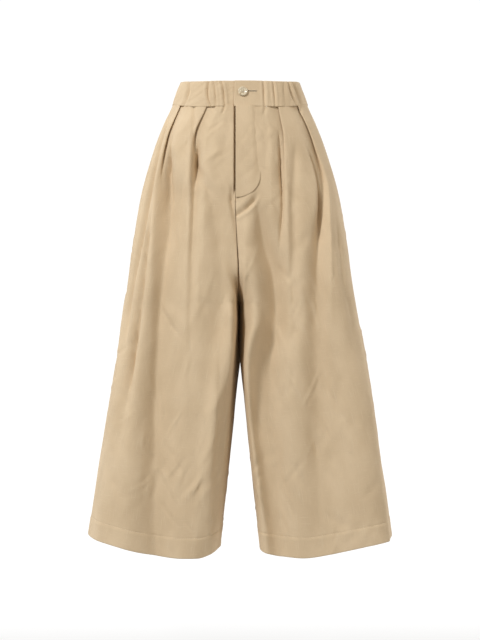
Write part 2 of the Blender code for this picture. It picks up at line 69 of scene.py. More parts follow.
def smoothStep(value, low, high):
    # 0 below low, 1 above high, and 3s^2 - 2s^3 between them
    share = np.clip((value - low) / (high - low), 0.0, 1.0)
    return share * share * (3.0 - 2.0 * share)


def bump(distance, width):
    # a bell: exp(-(distance / width)^2)
    return np.exp(-((distance / width) ** 2))


def curveAt(table, column, level):
    # a piecewise cubic through the table's rows, its slopes the harmonic mean of the slopes
    # beside each row, so that the curve never leaves its rows' range
    down = -np.array(table["level"], float)
    values = np.array(table[column], float)
    between = np.diff(values) / np.diff(down)
    product = between[:-1] * between[1:]
    total = np.where(product > 0, between[:-1] + between[1:], 1.0)
    slopes = np.concatenate([between[:1], np.where(product > 0, 2 * product / total, 0.0), between[-1:]])
    at = np.clip(-np.asarray(level, float), down[0], down[-1])
    i = np.clip(np.searchsorted(down, at) - 1, 0, len(down) - 2)
    step = down[i + 1] - down[i]
    t = (at - down[i]) / step
    return (
        (2 * t**3 - 3 * t**2 + 1) * values[i]
        + (t**3 - 2 * t**2 + t) * step * slopes[i]
        + (3 * t**2 - 2 * t**3) * values[i + 1]
        + (t**3 - t**2) * step * slopes[i + 1]
    )


def softNoise(u, v, seed):
    # random heights from -1 to 1 on a square lattice of side 1, blended between with smooth steps
    lattice = np.random.default_rng(seed).uniform(-1, 1, (64, 64))
    i, j = np.floor(u).astype(int), np.floor(v).astype(int)
    s, t = u - i, v - j
    s, t = s * s * (3 - 2 * s), t * t * (3 - 2 * t)
    corner = lambda a, b: lattice[(i + a) % 64, (j + b) % 64]
    near = corner(0, 0) * (1 - s) + corner(1, 0) * s
    far = corner(0, 1) * (1 - s) + corner(1, 1) * s
    return near * (1 - t) + far * t


# The form of a leg at each level: the side seam's and the inner edge's distance from the centre
# plane, and the half depths. The inner edge is negative where the two legs' forms cross.
legForm = {
    "level": [30, 0, -25, -60, -100, -150, -200, -260, -305, -340, -367, -387, crotchLevel, -475, -600,
              -740, hemLevel],
    "outer": [113, 122, 130.5, 148, 165.5, 182, 194, 204, 210.5, 214, 217, 219.5, 221.5, 232, 252.5, 274,
              291.5],
    "inner": [-113, -122, -130, -144, -150, -146, -124, -80, -45, -21, -7, -1.2, 0.7, 0.7, 10.5, 24.5, 38.5],
    "front": [93, 97, 101, 107, 113, 119, 123, 127, 130, 132, 134, 135, 135.5, 139, 143, 147, 150],
    "back": [93, 98, 104, 112, 120, 128, 133, 135, 136, 137, 137, 137, 137.5, 139, 142, 146, 150],
    # the exponent of the ring's rounded outline: the legs hang flatter in front than the waist
    "roundness": [2.35, 2.35, 2.35, 2.4, 2.45, 2.5, 2.6, 2.7, 2.8, 2.85, 2.9, 2.9, 2.9, 3.0, 3.1, 3.15, 3.2],
}
centreSeam = {"level": [30, -210, -300, crotchLevel, hemLevel], "x": [-8.2, -8.2, -4.5, 0, 0]}
flow = {
    "sideRiseTop": 8.0,  # how far the band's top edge climbs at the side seams
    "sideRiseSeam": 14.0,
    "riseFades": -140.0,
    "hemSideLift": 34.0,
    "hemInnerLift": 9.0,
    "hemLowestX": 110.0,
    "hemInnerLowestX": 78.0,
    "hemLiftedShare": 1.03,
    "nestle": 3.0,  # one leg's inner front leans over the other's by this below the crotch
}


def halfRing(levels, facing):
    # one leg's half outline at each level: |x/w|^n + |y/d|^n = 1 about the leg's middle, with the
    # arc length from the side seam and the outward normal
    n = curveAt(legForm, "roundness", levels)[:, None]
    outer = curveAt(legForm, "outer", levels)[:, None]
    inner = curveAt(legForm, "inner", levels)[:, None]
    depth = curveAt(legForm, "front" if facing < 0 else "back", levels)[:, None]
    turn = np.linspace(0.0, math.pi, 721)[None, :]
    reach = (np.abs(np.cos(turn) / (outer - inner) * 2) ** n + np.abs(np.sin(turn) / depth) ** n) ** (-1 / n)
    x, y = (outer + inner) / 2 + reach * np.cos(turn), facing * reach * np.sin(turn)
    ring = {"level": levels, "x": x, "y": y}
    steps = np.hypot(np.diff(ring["x"], axis=1), np.diff(ring["y"], axis=1))
    ring["arc"] = np.pad(np.cumsum(steps, axis=1), ((0, 0), (1, 0)))
    slopeX, slopeY = np.gradient(ring["x"], axis=1), np.gradient(ring["y"], axis=1)
    length = np.hypot(slopeX, slopeY)
    ring["normalX"], ring["normalY"] = facing * slopeY / length, -facing * slopeX / length
    return ring


def readRows(places, keys, values):
    # each row's values, read in a straight line between its keys at its places
    return np.array([np.interp(place, key, value) for place, key, value in zip(places, keys, values)])


def arcAtX(ring, x):
    x = np.broadcast_to(np.asarray(x, float), ring["level"].shape)
    return readRows(x[:, None], ring["x"][:, ::-1], ring["arc"][:, ::-1])[:, 0]


def placeOn(ring, arc, lift):
    # the ring's point at an arc length, moved out along its normal by lift
    x, y = readRows(arc, ring["arc"], ring["x"]), readRows(arc, ring["arc"], ring["y"])
    normalX = readRows(arc, ring["arc"], ring["normalX"])
    normalY = readRows(arc, ring["arc"], ring["normalY"])
    return x + lift * normalX, y + lift * normalY


def frontY(x, level):
    # where the front of the form stands near the centre plane
    n = curveAt(legForm, "roundness", level)
    outer, inner = curveAt(legForm, "outer", level), curveAt(legForm, "inner", level)
    away = np.abs((np.abs(x) - (outer + inner) / 2) / ((outer - inner) / 2))
    return -curveAt(legForm, "front", level) * np.maximum(1 - away**n, 1e-6) ** (1 / n)


def sideShare(x, level):
    return np.clip(np.abs(x) / curveAt(legForm, "outer", level), 0, 1) ** 5


def seamRise(x, level):
    # the waist seam, and the cloth below it, climb towards the side seams
    return flow["sideRiseSeam"] * sideShare(x, level) * smoothStep(level, flow["riseFades"], bandBottom)


def hemLift(x, level):
    # the hem climbs towards the side seam and the inseam, where the cloth hangs from further out
    outer, inner = curveAt(legForm, "outer", level), curveAt(legForm, "inner", level)
    side = smoothStep(x, flow["hemLowestX"], flow["hemLiftedShare"] * outer)
    inseam = smoothStep(-x, -flow["hemInnerLowestX"], -inner)
    lift = flow["hemSideLift"] * side + flow["hemInnerLift"] * inseam
    return lift * np.clip(level / hemLevel, 0, 1) ** 2.5


def nestle(x, y, level):
    # below the crotch the two inner edges lean past each other
    window = smoothStep(-level, 290.0, 380.0) * (1 - smoothStep(-level, 470.0, 640.0))
    return flow["nestle"] * np.sin(math.pi * y / 120.0) * bump(x, 55.0) * window


def gridFaces(rows, columns, offset=0):
    corner = (np.arange(rows - 1)[:, None] * columns + np.arange(columns - 1)).reshape(-1) + offset
    return np.stack([corner, corner + 1, corner + columns + 1, corner + columns], axis=1)


def makeMesh(name, points, faces, material, uv=None):
    mesh = bpy.data.meshes.new(name)
    mesh.from_pydata((np.asarray(points) * mm).tolist(), [], faces.tolist())
    if uv is not None:
        layer = mesh.uv_layers.new(name="clothUv")
        corners = np.empty(len(mesh.loops), np.int32)
        mesh.loops.foreach_get("vertex_index", corners)
        layer.data.foreach_set("uv", (np.asarray(uv) * mm)[corners].astype(np.float32).reshape(-1))
    mesh.materials.append(material)
    mesh.shade_smooth()
    piece = bpy.data.objects.new(name, mesh)
    bpy.context.scene.collection.objects.link(piece)
    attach(piece, "root")
    return piece


def surfaceNormals(points):
    # the cross product of the grid's two directions, at length 1
    across, down = np.gradient(points, axis=1), np.gradient(points, axis=0)
    normal = np.cross(down, across)
    return normal / np.maximum(np.linalg.norm(normal, axis=2, keepdims=True), 1e-9)


def clothShell(name, points, wall, uv, material, outward):
    # a wall about a grid of points: both faces stand half the wall away along the normal, and
    # strips close the four edges
    rows, columns, _ = points.shape
    normal = surfaceNormals(points)
    if (normal * outward).sum() < 0:
        normal = -normal
    half = np.broadcast_to(np.asarray(wall, float), (rows, columns))[:, :, None] / 2
    both = np.concatenate([(points + normal * half).reshape(-1, 3), (points - normal * half).reshape(-1, 3)])
    count = rows * columns
    index = np.arange(count).reshape(rows, columns)
    outer = gridFaces(rows, columns)
    rim = np.concatenate([index[0, ::-1], index[:, 0][1:], index[-1][1:], index[::-1, -1][1:-1]])
    following = np.roll(rim, -1)
    strip = np.stack([rim, following, following + count, rim + count], axis=1)
    faces = np.concatenate([outer, outer[:, ::-1] + count, strip])
    first = faces[0]
    turn = np.cross(both[first[1]] - both[first[0]], both[first[3]] - both[first[0]])
    if (turn * normal[0, 0]).sum() < 0:
        faces = faces[:, ::-1]
    piece = makeMesh(name, both, faces, material, np.concatenate([uv.reshape(-1, 2)] * 2))
    piece.data.set_sharp_from_angle(angle=math.radians(50))
    return piece


def newMaterial(name, colour, roughness):
    made = bpy.data.materials.new(name)
    made.use_nodes = True
    shader = made.node_tree.nodes["Principled BSDF"]
    shader.inputs["Base Color"].default_value = (*colour, 1)
    shader.inputs["Roughness"].default_value = roughness
    return made, made.node_tree.nodes, made.node_tree.links, shader


clothFinish = {
    "light": (0.69, 0.545, 0.37),
    "dark": (0.63, 0.49, 0.325),
    "slub": (0.80, 0.67, 0.49),
    "roughness": 0.88,
    "sheen": 0.04,
    "threadsPerMetre": 1750,
    "weaveDepth": 0.00022,
    "slubDepth": 0.00035,
}


def wovenCloth(name, shade=1.0):
    # plain weave over the cloth's own metres: warp and weft waves make the bump, and noises
    # stretched along each thread make slubs and a mottled tone
    made, nodes, links, shader = newMaterial(name, clothFinish["light"], clothFinish["roughness"])
    shader.inputs["Sheen Weight"].default_value = clothFinish["sheen"]
    shader.inputs["Sheen Roughness"].default_value = 0.5
    shader.inputs["Specular IOR Level"].default_value = 0.12
    uv = nodes.new("ShaderNodeUVMap")
    uv.uv_map = "clothUv"

    def stretched(scale, detail, kind="ShaderNodeTexNoise"):
        mapping = nodes.new("ShaderNodeMapping")
        mapping.inputs["Scale"].default_value = scale
        links.new(uv.outputs["UV"], mapping.inputs["Vector"])
        noise = nodes.new(kind)
        noise.inputs["Scale"].default_value = 1.0
        noise.inputs["Detail"].default_value = detail
        links.new(mapping.outputs["Vector"], noise.inputs["Vector"])
        return noise

    def maths(operation, first, second):
        node = nodes.new("ShaderNodeMath")
        node.operation = operation
        for socket, value in zip(node.inputs, (first, second)):
            if isinstance(value, (int, float)):
                socket.default_value = value
            else:
                links.new(value, socket)
        return node.outputs["Value"]

    def ramp(source, low, high):
        node = nodes.new("ShaderNodeMapRange")
        node.interpolation_type = "SMOOTHSTEP"
        node.inputs["From Min"].default_value = low
        node.inputs["From Max"].default_value = high
        links.new(source, node.inputs["Value"])
        return node.outputs["Result"]

    def mixed(share, first, second):
        node = nodes.new("ShaderNodeMix")
        node.data_type = "RGBA"
        links.new(share, node.inputs["Factor"])
        for socket, value in ((node.inputs[6], first), (node.inputs[7], second)):
            if isinstance(value, tuple):
                socket.default_value = (*[v * shade for v in value], 1)
            else:
                links.new(value, socket)
        return node.outputs[2]

    mottle = stretched((24, 12, 1), 6)
    weftSlub = stretched((38, 1150, 1), 2)
    warpSlub = stretched((1150, 22, 1), 2)
    weftShare, warpShare = ramp(weftSlub.outputs["Fac"], 0.6, 0.75), ramp(warpSlub.outputs["Fac"], 0.6, 0.74)
    slubs = maths("MAXIMUM", weftShare, warpShare)
    tone = mixed(ramp(mottle.outputs["Fac"], 0.3, 0.7), clothFinish["dark"], clothFinish["light"])
    faint = maths("MULTIPLY", slubs, 0.6)
    links.new(mixed(faint, tone, clothFinish["slub"]), shader.inputs["Base Color"])

    threads = []
    for direction in ("X", "Y"):
        wave = nodes.new("ShaderNodeTexWave")
        wave.bands_direction = direction
        wave.inputs["Scale"].default_value = clothFinish["threadsPerMetre"] / 20 * 2 * math.pi
        wave.inputs["Distortion"].default_value = 0.6
        wave.inputs["Detail"].default_value = 1
        links.new(uv.outputs["UV"], wave.inputs["Vector"])
        threads.append(wave.outputs["Fac"])
    weave = maths("MAXIMUM", threads[0], threads[1])
    fine = nodes.new("ShaderNodeBump")
    fine.inputs["Distance"].default_value = clothFinish["weaveDepth"]
    fine.inputs["Strength"].default_value = 0.5
    links.new(weave, fine.inputs["Height"])
    coarse = nodes.new("ShaderNodeBump")
    coarse.inputs["Distance"].default_value = clothFinish["slubDepth"]
    coarse.inputs["Strength"].default_value = 0.6
    links.new(slubs, coarse.inputs["Height"])
    links.new(fine.outputs["Normal"], coarse.inputs["Normal"])
    links.new(coarse.outputs["Normal"], shader.inputs["Normal"])
    return made


linen = wovenCloth("linenCotton")
print("cloth finish made")


# Each crease: the points that it runs through, as (distance from the centre plane, level), then
# its width, its depth (a ridge's is below zero), how much of it swells up beside it, and how it
# starts and ends: 0 fades away, 1 stays at full depth.


def creaseLift(ring, arc, creases):
    # depth * exp(-(d / width)^2) along a smooth path through the points, with d the distance
    # from the path, less a swelling of the same form further out
    lift = np.zeros_like(arc)
    level = np.broadcast_to(ring["level"][:, None], arc.shape)
    for crease in creases:
        points = np.array(crease["path"], float)
        along = np.linspace(0, 1, 28)
        padded = np.vstack([2 * points[0] - points[1], points, 2 * points[-1] - points[-2]])
        i = np.clip((along * (len(points) - 1)).astype(int), 0, len(points) - 2)
        t = (along * (len(points) - 1) - i)[:, None]
        p0, p1, p2, p3 = padded[i], padded[i + 1], padded[i + 2], padded[i + 3]
        bend, twist = 2 * p0 - 5 * p1 + 4 * p2 - p3, 3 * p1 - p0 - 3 * p2 + p3
        path = 0.5 * (2 * p1 + (p2 - p0) * t + bend * t**2 + twist * t**3)
        rows = np.clip(np.searchsorted(-ring["level"], -path[:, 1]), 0, len(ring["level"]) - 1)
        pathArc = readRows(path[:, :1], ring["x"][rows, ::-1], ring["arc"][rows, ::-1])[:, 0]
        reach = 4.5 * crease["width"]
        low, high = path[:, 1].min() - reach, path[:, 1].max() + reach
        inRows = np.nonzero((ring["level"] > low) & (ring["level"] < high))[0]
        if len(inRows) == 0:
            continue
        block = slice(inRows[0], inRows[-1] + 1)
        a, z = arc[block], level[block]
        best, share, sign = np.full(a.shape, 1e9), np.zeros(a.shape), np.ones(a.shape)
        for k in range(len(path) - 1):
            da, dz = pathArc[k + 1] - pathArc[k], path[k + 1, 1] - path[k, 1]
            length = da * da + dz * dz + 1e-9
            s = np.clip(((a - pathArc[k]) * da + (z - path[k, 1]) * dz) / length, 0, 1)
            offA, offZ = a - pathArc[k] - s * da, z - path[k, 1] - s * dz
            distance = offA * offA + offZ * offZ
            nearer = distance < best
            best = np.where(nearer, distance, best)
            share = np.where(nearer, (k + s) / (len(path) - 1), share)
            sign = np.where(nearer, np.sign(offA * dz - offZ * da), sign)
        start, end = crease.get("start", 0), crease.get("end", 0)
        strength = np.maximum(start, smoothStep(share, 0, 0.4))
        strength = strength * np.maximum(end, 1 - smoothStep(share, 0.6, 1))
        lean = 1 + crease.get("lean", 0.0) * sign
        d = np.sqrt(best) / (crease["width"] * lean)
        across = np.exp(-(d**2)) - crease.get("swell", 0.3) * np.exp(-((d - 2.0) ** 2))
        lift[block] -= crease["depth"] * strength * across
    return lift


def scatterCreases(seed, count, box, length, width, depth, tilt):
    # small creases at seeded places, mostly running at the given tilt from upright
    made = []
    random = np.random.default_rng(seed)
    for _ in range(count):
        x, level = random.uniform(box[0], box[1]), random.uniform(box[2], box[3])
        angle = math.radians(random.normal(tilt * random.choice([-1, 1]), 14))
        half = random.uniform(*length) / 2
        dx, dz = half * math.sin(angle), half * math.cos(angle)
        bend = random.uniform(-0.12, 0.12) * half
        made.append({
            "path": [(x + dx, level + dz), (x + bend, level), (x - dx, level - dz)],
            "width": random.uniform(*width),
            "depth": random.uniform(*depth) * random.choice([-1, 1]),
            "swell": 0.35,
        })
    return made


legCloth = {
    "wall": 1.3,
    "hemWall": 2.4,
    "hemDepth": 38.0,
    "tuck": 3.0,  # the panels' tops reach this far up inside the band
    "seamDepth": 0.9,
    "seamWidth": 1.6,
    "frontRows": 286,
    "backRows": 262,
    "backColumns": 120,
    "plainColumns": (34, 18, 46),
    "pleatColumns": 34,
    "ripple": 0.42,  # height of the cloth's small unevenness
}
pleatLevels = [bandBottom, -90.0, -180.0, hemLevel]
pleatFold = {"pitch": 1.8, "before": 12.0, "after": 26.0}
pleatKeys = "waist hip low hem under ends lip trough".split()
pleats = {
    "right": [(115, 142, 158, 176, 27, -225, 3, 9), (64, 89, 92, 104, 25, -165, 2.5, 8)],
    "left": [(111, 140, 164, 168, 27, -245, 3, 8), (73, 83, 84, 94, 25, -250, 1.5, 3.5)],
}
# Soft folds, each a line down the cloth: level, distance of its bottom from the centre plane, depth
# (a ridge's is below zero), and its widths on the side seam's side and on the centre's.
foldKeys = "level x depth outer inner".split()
frontFolds = {
    "right": {
        "outerTrough": [(-100, 136, 0, 8, 12), (-150, 140, 17, 13, 24), (-203, 140, 30, 18, 38),
                        (-277, 142, 28, 18, 40),
                        (-352, 147, 25, 21, 42), (-428, 153, 26, 22, 46), (-522, 157, 26, 23, 50),
                        (-616, 158, 24, 21, 50),
                        (-710, 157, 18, 20, 46), (-800, 156, 15, 20, 44), (-872, 155, 13, 20, 42)],
        "sideRidge": [(-320, 214, 0, 10, 14), (-428, 222, -3, 12, 18), (-522, 228, -5, 16, 24),
                      (-616, 236, -6, 20, 28),
                      (-710, 244, -6, 22, 32), (-872, 256, -5, 24, 34)],
        "outerPocket": [(-60, 126, 0, 3, 3), (-100, 138, 5, 3, 5), (-127, 145, 9, 3, 6), (-165, 150, 7, 4, 8),
                        (-203, 152, 3, 5, 8), (-240, 153, 0, 5, 8)],
        "innerPocket": [(-85, 80, 0, 3, 4), (-110, 83, 7, 3, 5), (-135, 85, 14, 4, 6),
                        (-152, 85, 8, 4, 8), (-185, 88, 0, 4, 9)],
        "sideDip": [(-40, 138, 0, 4, 3), (-61, 142, 5, 4, 4), (-95, 154, 8, 5, 6), (-127, 162, 10, 5, 7),
                    (-165, 170, 10, 5, 8),
                    (-203, 177, 11, 6, 8), (-277, 190, 11, 6, 9), (-352, 204, 10, 6, 10),
                    (-428, 214, 9, 7, 10), (-522, 222, 0, 7, 8)],
        "sideDipLow": [(-220, 170, 0, 4, 4), (-277, 177, 8, 5, 7), (-352, 186, 11, 7, 9),
                       (-428, 195, 12, 8, 10),
                       (-522, 209, 16, 9, 11), (-616, 220, 8, 10, 14), (-700, 228, 0, 10, 14)],
        "forkInner": [(-130, 84, 0, 6, 6), (-165, 68, 5, 9, 12), (-203, 52, 6, 13, 20), (-277, 40, 7, 16, 22),
                      (-352, 30, 4, 16, 18), (-420, 25, 0, 16, 18)],
        "forkOuter": [(-150, 88, 3, 4, 5), (-203, 88, 3, 5, 6), (-277, 89, 2.4, 6, 8), (-352, 93, 1.6, 8, 10),
                      (-428, 93, 1.4, 9, 14), (-500, 96, 0, 9, 14)],
        "innerRidge": [(-450, 44, 0, 14, 6), (-522, 45.6, -3, 14, 6), (-616, 47, -3, 14, 6),
                       (-710, 55, -3, 15, 7),
                       (-800, 56, -3, 15, 7), (-872, 56, -2, 15, 7)],
        "seamDip": [(-170, 15, 0, 5, 5), (-203, 15, 6, 5, 6), (-240, 9, 4, 5, 6), (-277, 6, 2, 5, 5),
                    (-320, 5, 0, 5, 5)],
    },
    "left": {
        "innerTrough": [(-200, 30, 0, 6, 6), (-225, 36, 7, 10, 8), (-277, 43, 19, 22, 14),
                        (-352, 59, 27, 30, 16),
                        (-428, 57, 29, 38, 17), (-522, 46, 20, 40, 18), (-616, 48, 19, 42, 19),
                        (-710, 59, 19, 42, 20),
                        (-800, 66, 18, 44, 22), (-872, 72, 16, 46, 22)],
        "seamRidge": [(-215, 14, 0, 10, 8), (-250, 14, -3, 12, 10), (-300, 15, -6, 16, 10),
                      (-352, 16, -7, 16, 10),
                      (-428, 14, -5, 16, 10), (-500, 12, 0, 14, 8)],
        "outerPocket": [(-100, 128, 0, 3, 3), (-127, 140, 6, 3, 4), (-165, 150, 7, 3, 5),
                        (-203, 156, 8, 3, 6),
                        (-240, 157, 4, 3, 6), (-275, 157, 0, 3, 6)],
        "innerPocket": [(-60, 75, 0, 2, 3), (-110, 77, 5, 2.5, 3), (-160, 79, 6.5, 2.5, 3.5),
                        (-203, 81, 6, 2.5, 4),
                        (-260, 77, 4, 3, 4), (-310, 73, 0, 3, 4)],
        "middleDip": [(-90, 104, 0, 7, 7), (-127, 104, 4, 8, 8), (-203, 101, 5, 9, 9), (-277, 102, 6, 10, 10),
                      (-352, 99, 5, 10, 10), (-428, 104, 2, 10, 10), (-480, 108, 0, 10, 10)],
        "outerTrough": [(-180, 154, 0, 5, 12), (-215, 158, 6, 5, 14), (-277, 152, 14, 10, 20),
                        (-352, 147, 16, 16, 20),
                        (-428, 144, 17, 24, 20), (-522, 146, 17, 34, 23), (-616, 148, 15, 40, 25),
                        (-710, 150, 13, 44, 27),
                        (-800, 152, 10, 46, 28), (-872, 152, 8, 46, 28)],
        "sideRidge": [(-320, 214, 0, 12, 40), (-428, 226, -4, 12, 50), (-522, 236, -7, 12, 60),
                      (-616, 246, -9, 12, 66),
                      (-710, 254, -10, 12, 70), (-872, 268, -10, 12, 70)],
        "sideDip": [(-200, 178, 0, 5, 9), (-277, 187, 3, 5, 9), (-352, 194, 3, 5, 10),
                    (-428, 209, 2, 6, 10), (-520, 217, 0, 7, 10)],
    },
}
# Ridges beside the inseams, laid the same way but pushed straight forward
centreRidge = {
    "centre": [(-240, 0, 0, 16, 16), (-300, 0, 11, 14, 14), (-345, 0, 23, 12, 12), (-375, 0, 17, 10, 10), (-400, 0, 0, 9, 9)],
}
frontRidges = {
    "right": {
        "inseam": [(-220, 10, 0, 20, 7), (-277, 10, 4, 22, 7), (-352, 12, 16, 24, 7), (-428, 8, 52, 21, 5),
                   (-475, 13, 44, 22, 7), (-522, 21, 34, 23, 9), (-616, 43, 20, 22, 14),
                   (-710, 53, 16, 26, 12), (-800, 61, 13, 32, 12),
                   (-872, 66, 10, 34, 12)],
        "edge": [(-440, 8, 0, 8, 5), (-522, 12, 20, 9, 5), (-616, 22, 22, 10, 6), (-710, 32, 20, 10, 7),
                 (-800, 42, 17, 10, 7), (-872, 49, 15, 10, 7)],
        "side": [(-380, 208, 0, 26, 16), (-522, 208, 6, 30, 20), (-710, 206, 9, 34, 24),
                 (-872, 210, 9, 38, 26)],
    },
    "left": {
        "inseam": [(-290, 14, 0, 14, 10), (-352, 24, 13, 17, 14), (-428, 25, 25, 19, 15),
                   (-475, 14, 40, 18, 8), (-522, 9, 48, 16, 7),
                   (-616, 12, 54, 14, 7), (-710, 23, 52, 15, 7), (-800, 33, 46, 17, 8),
                   (-872, 41, 42, 18, 8)],
        "side": [(-120, 160, 0, 8, 30), (-200, 178, 6, 8, 40), (-277, 194, 12, 6, 46), (-428, 220, 20, 6, 50),
                 (-616, 245, 22, 7, 52), (-872, 277, 22, 9, 56)],
    },
}
backFolds = {
    "outerTrough": [(-120, 146, 0, 9, 11), (-200, 150, 10, 12, 16), (-340, 162, 17, 15, 22),
                    (-520, 182, 19, 17, 27),
                    (-720, 200, 16, 19, 30), (-872, 212, 13, 20, 32)],
    "middleTrough": [(-160, 94, 0, 12, 9), (-260, 100, 10, 17, 12), (-430, 112, 17, 26, 15),
                     (-640, 124, 17, 30, 17),
                     (-872, 132, 14, 32, 19)],
    "seatDip": [(-110, 48, 0, 8, 8), (-200, 54, 8, 10, 11), (-310, 64, 8, 12, 12), (-430, 74, 0, 12, 12)],
    "innerRidge": [(-420, 72, 0, 14, 10), (-560, 80, -6, 18, 12), (-740, 88, -7, 20, 13),
                   (-872, 94, -5, 20, 13)],
}
backGathers = {"count": 9, "depth": 4.6, "width": 8.5, "length": 120.0}
flySlit = {"x": -8.2, "roll": 6.0, "rollWidth": 5.0, "rollFades": (-178.0, -200.0)}


def rowLevels(top, bottom, count, dense):
    # rows from top to bottom, closer together where dense asks: (level, reach, times)
    at = np.linspace(top, bottom, 2000)
    weight = np.ones_like(at)
    for level, reach, times in dense:
        weight += times * bump(at - level, reach)
    share = np.concatenate([[0], np.cumsum((weight[1:] + weight[:-1]) / 2)])
    return np.interp(np.linspace(0, share[-1], count), share, at)


def softFolds(ring, arc, folds):
    # depth * exp(-(a / width)^2), with a the way along the ring from the fold's own line
    lift = np.zeros_like(arc)
    for rows in folds.values():
        line = dict(zip(foldKeys, np.array(rows, float).T))
        centre = arcAtX(ring, curveAt(line, "x", ring["level"]))[:, None]
        depth, outer, inner = (curveAt(line, key, ring["level"])[:, None] for key in foldKeys[2:])
        away = arc - centre
        lift -= depth * bump(away, np.where(away > 0, inner, outer))
    return lift


def pushForward(points, level, ridges, fromSeam):
    # y - height * exp(-((x - place) / width)^2), fading away at the two seams themselves
    fade = smoothStep(fromSeam, 2, 30)
    for rows in ridges.values():
        line = dict(zip(foldKeys, np.array(rows, float).T))
        place, height, outer, inner = (curveAt(line, key, level)[:, None] for key in foldKeys[1:])
        away = np.abs(points[..., 0]) - place
        points[..., 1] -= height * bump(away, np.where(away > 0, outer, inner)) * fade


def splineWeights(controls, columns):
    # a uniform cubic B-spline's weights, its ends held by mirroring the controls next to them
    weights = np.zeros((columns, controls + 2))
    place = np.linspace(0.0, controls - 1, columns)
    i = np.minimum(place.astype(int), controls - 2)
    t = place - i
    basis = ((1 - t) ** 3, 3 * t**3 - 6 * t**2 + 4, -3 * t**3 + 3 * t**2 + 3 * t + 1, t**3)
    for offset, values in enumerate(basis):
        weights[np.arange(columns), i + offset] += values / 6
    inside = weights[:, 1:-1].copy()
    inside[:, :2] += weights[:, :1] * (2, -1)
    inside[:, -2:] += weights[:, -1:] * (-1, 2)
    return inside


def pleatAcross(levels, pleat, columns):
    # at the waist the cloth runs to the fold edge, back beneath itself and out again; by the
    # level "ends" that has opened into a lip and a soft trough
    closedShare = np.clip((levels - pleat["ends"]) / (bandBottom - pleat["ends"]), 0, 1)[:, None]
    fall = np.clip((levels - pleat["ends"]) / (hemLevel - pleat["ends"]), 0, 1)[:, None]
    opened = smoothStep(1 - closedShare, 0, 1)
    before, after = -pleatFold["before"], pleatFold["after"]
    closedAlong = np.array([
        before, 0.66 * before, 0.33 * before, 0, 0.5, 0, 0, 0.12 * after, 0.55 * after, after,
    ])
    closedAlong = closedAlong - pleat["under"] * closedShare * (0, 0, 0, 0, 0, 1, 1, 0, 0, 0)
    closedLift = -pleatFold["pitch"] * (1 + 2.4 * opened) * (0, 0, 0, 0, 1, 1, 2.2, 2.5, 1.1, 0)
    openAlong = np.array([1, 0.75, 0.5, 0.25, 0, 0, 0, 0, 0, 0]) * before
    openAlong = openAlong + np.array([0, 0, 0, 0, 0.02, 0.14, 0.28, 0.46, 0.72, 1]) * after
    lip = pleat["lip"] * (1 - fall) ** 4
    trough = pleat["trough"] * (1 - fall) ** 3
    openLift = lip * (0, 0.4, 1, 0.8, 0, 0, 0, 0, 0, 0) - trough * (0, 0, 0, 0, 0.3, 0.8, 1, 0.85, 0.35, 0)
    weights = splineWeights(closedLift.shape[1], columns).T
    along = (1 - opened) * closedAlong + opened * openAlong
    lift = (1 - opened) * closedLift + opened * openLift
    return along @ weights, lift @ weights


def frontColumns(ring, hand, end):
    arcs, lifts = [], []
    start = np.full((len(ring["level"]), 1), 0.15)
    for row, count in zip(pleats[hand], legCloth["plainColumns"]):
        pleat = dict(zip(pleatKeys, row))
        path = {"level": pleatLevels, "x": [pleat["waist"], pleat["hip"], pleat["low"], pleat["hem"]]}
        edge = arcAtX(ring, curveAt(path, "x", ring["level"]))[:, None]
        share = np.linspace(0, 1, count, endpoint=False)
        along, lift = pleatAcross(ring["level"], pleat, legCloth["pleatColumns"])
        arcs += [start * (1 - share) + (edge - pleatFold["before"]) * share, edge + along[:, :-1]]
        lifts += [start * 0 * share, lift[:, :-1]]
        start = edge + pleatFold["after"]
    share = np.linspace(0, 1, legCloth["plainColumns"][-1])
    share = share + 0.08 * np.sin(math.pi * share) ** 2  # a little closer together at the seam
    arcs.append(start * (1 - share) + end[:, None] * share)
    lifts.append(start * 0 * share)
    return np.concatenate(arcs, axis=1), np.concatenate(lifts, axis=1)


def seamGroove(distance):
    # the cloth turns in at a seam: depth * exp(-(distance / width)^2)
    return -legCloth["seamDepth"] * bump(distance, legCloth["seamWidth"])


def rippleLift(u, v, seed):
    # three sizes of softNoise, longer down the leg than across it
    fine = softNoise(u / 7, v / 16, seed) * 0.3 + softNoise(u / 17, v / 45, seed + 1) * 0.8
    return legCloth["ripple"] * (fine + softNoise(u / 42, v / 130, seed + 2) * 2.0)


def hemWall(level):
    return legCloth["wall"] + (legCloth["hemWall"] - legCloth["wall"]) * smoothStep(
        -level, -hemLevel - legCloth["hemDepth"] - 1, -hemLevel - legCloth["hemDepth"] + 1.5
    )


def roundedRim(wall, fromEdge):
    # the wall thins over its last 1.2 mm as a half round edge would
    share = np.clip(fromEdge / 1.2, 0, 1)
    return wall * np.sqrt(np.clip(1 - (1 - share) ** 2, 0.06, 1))


def hemStitchLift(arc, level):
    # the stitched line sinks in, unevenly, and small puckers run up and down from it
    off = level - (hemLevel + legCloth["hemDepth"])
    pull = 0.75 + 0.25 * softNoise(arc / 6, off * 0, 77)
    puckers = softNoise(arc / 9, off * 0 + 3.3, 78) * bump(off - 4, 12) * 0.45
    return -0.55 * pull * bump(off, 2.0) + puckers + 0.25 * bump(off + 6, 4)


def placeLeg(ring, arc, lift, side):
    x, y = placeOn(ring, arc, lift)
    level = np.broadcast_to(ring["level"][:, None], x.shape)
    z = level + seamRise(x, level) + hemLift(x, level)
    x = x * side
    return np.stack([x + nestle(x, y, level), y, z], axis=-1)


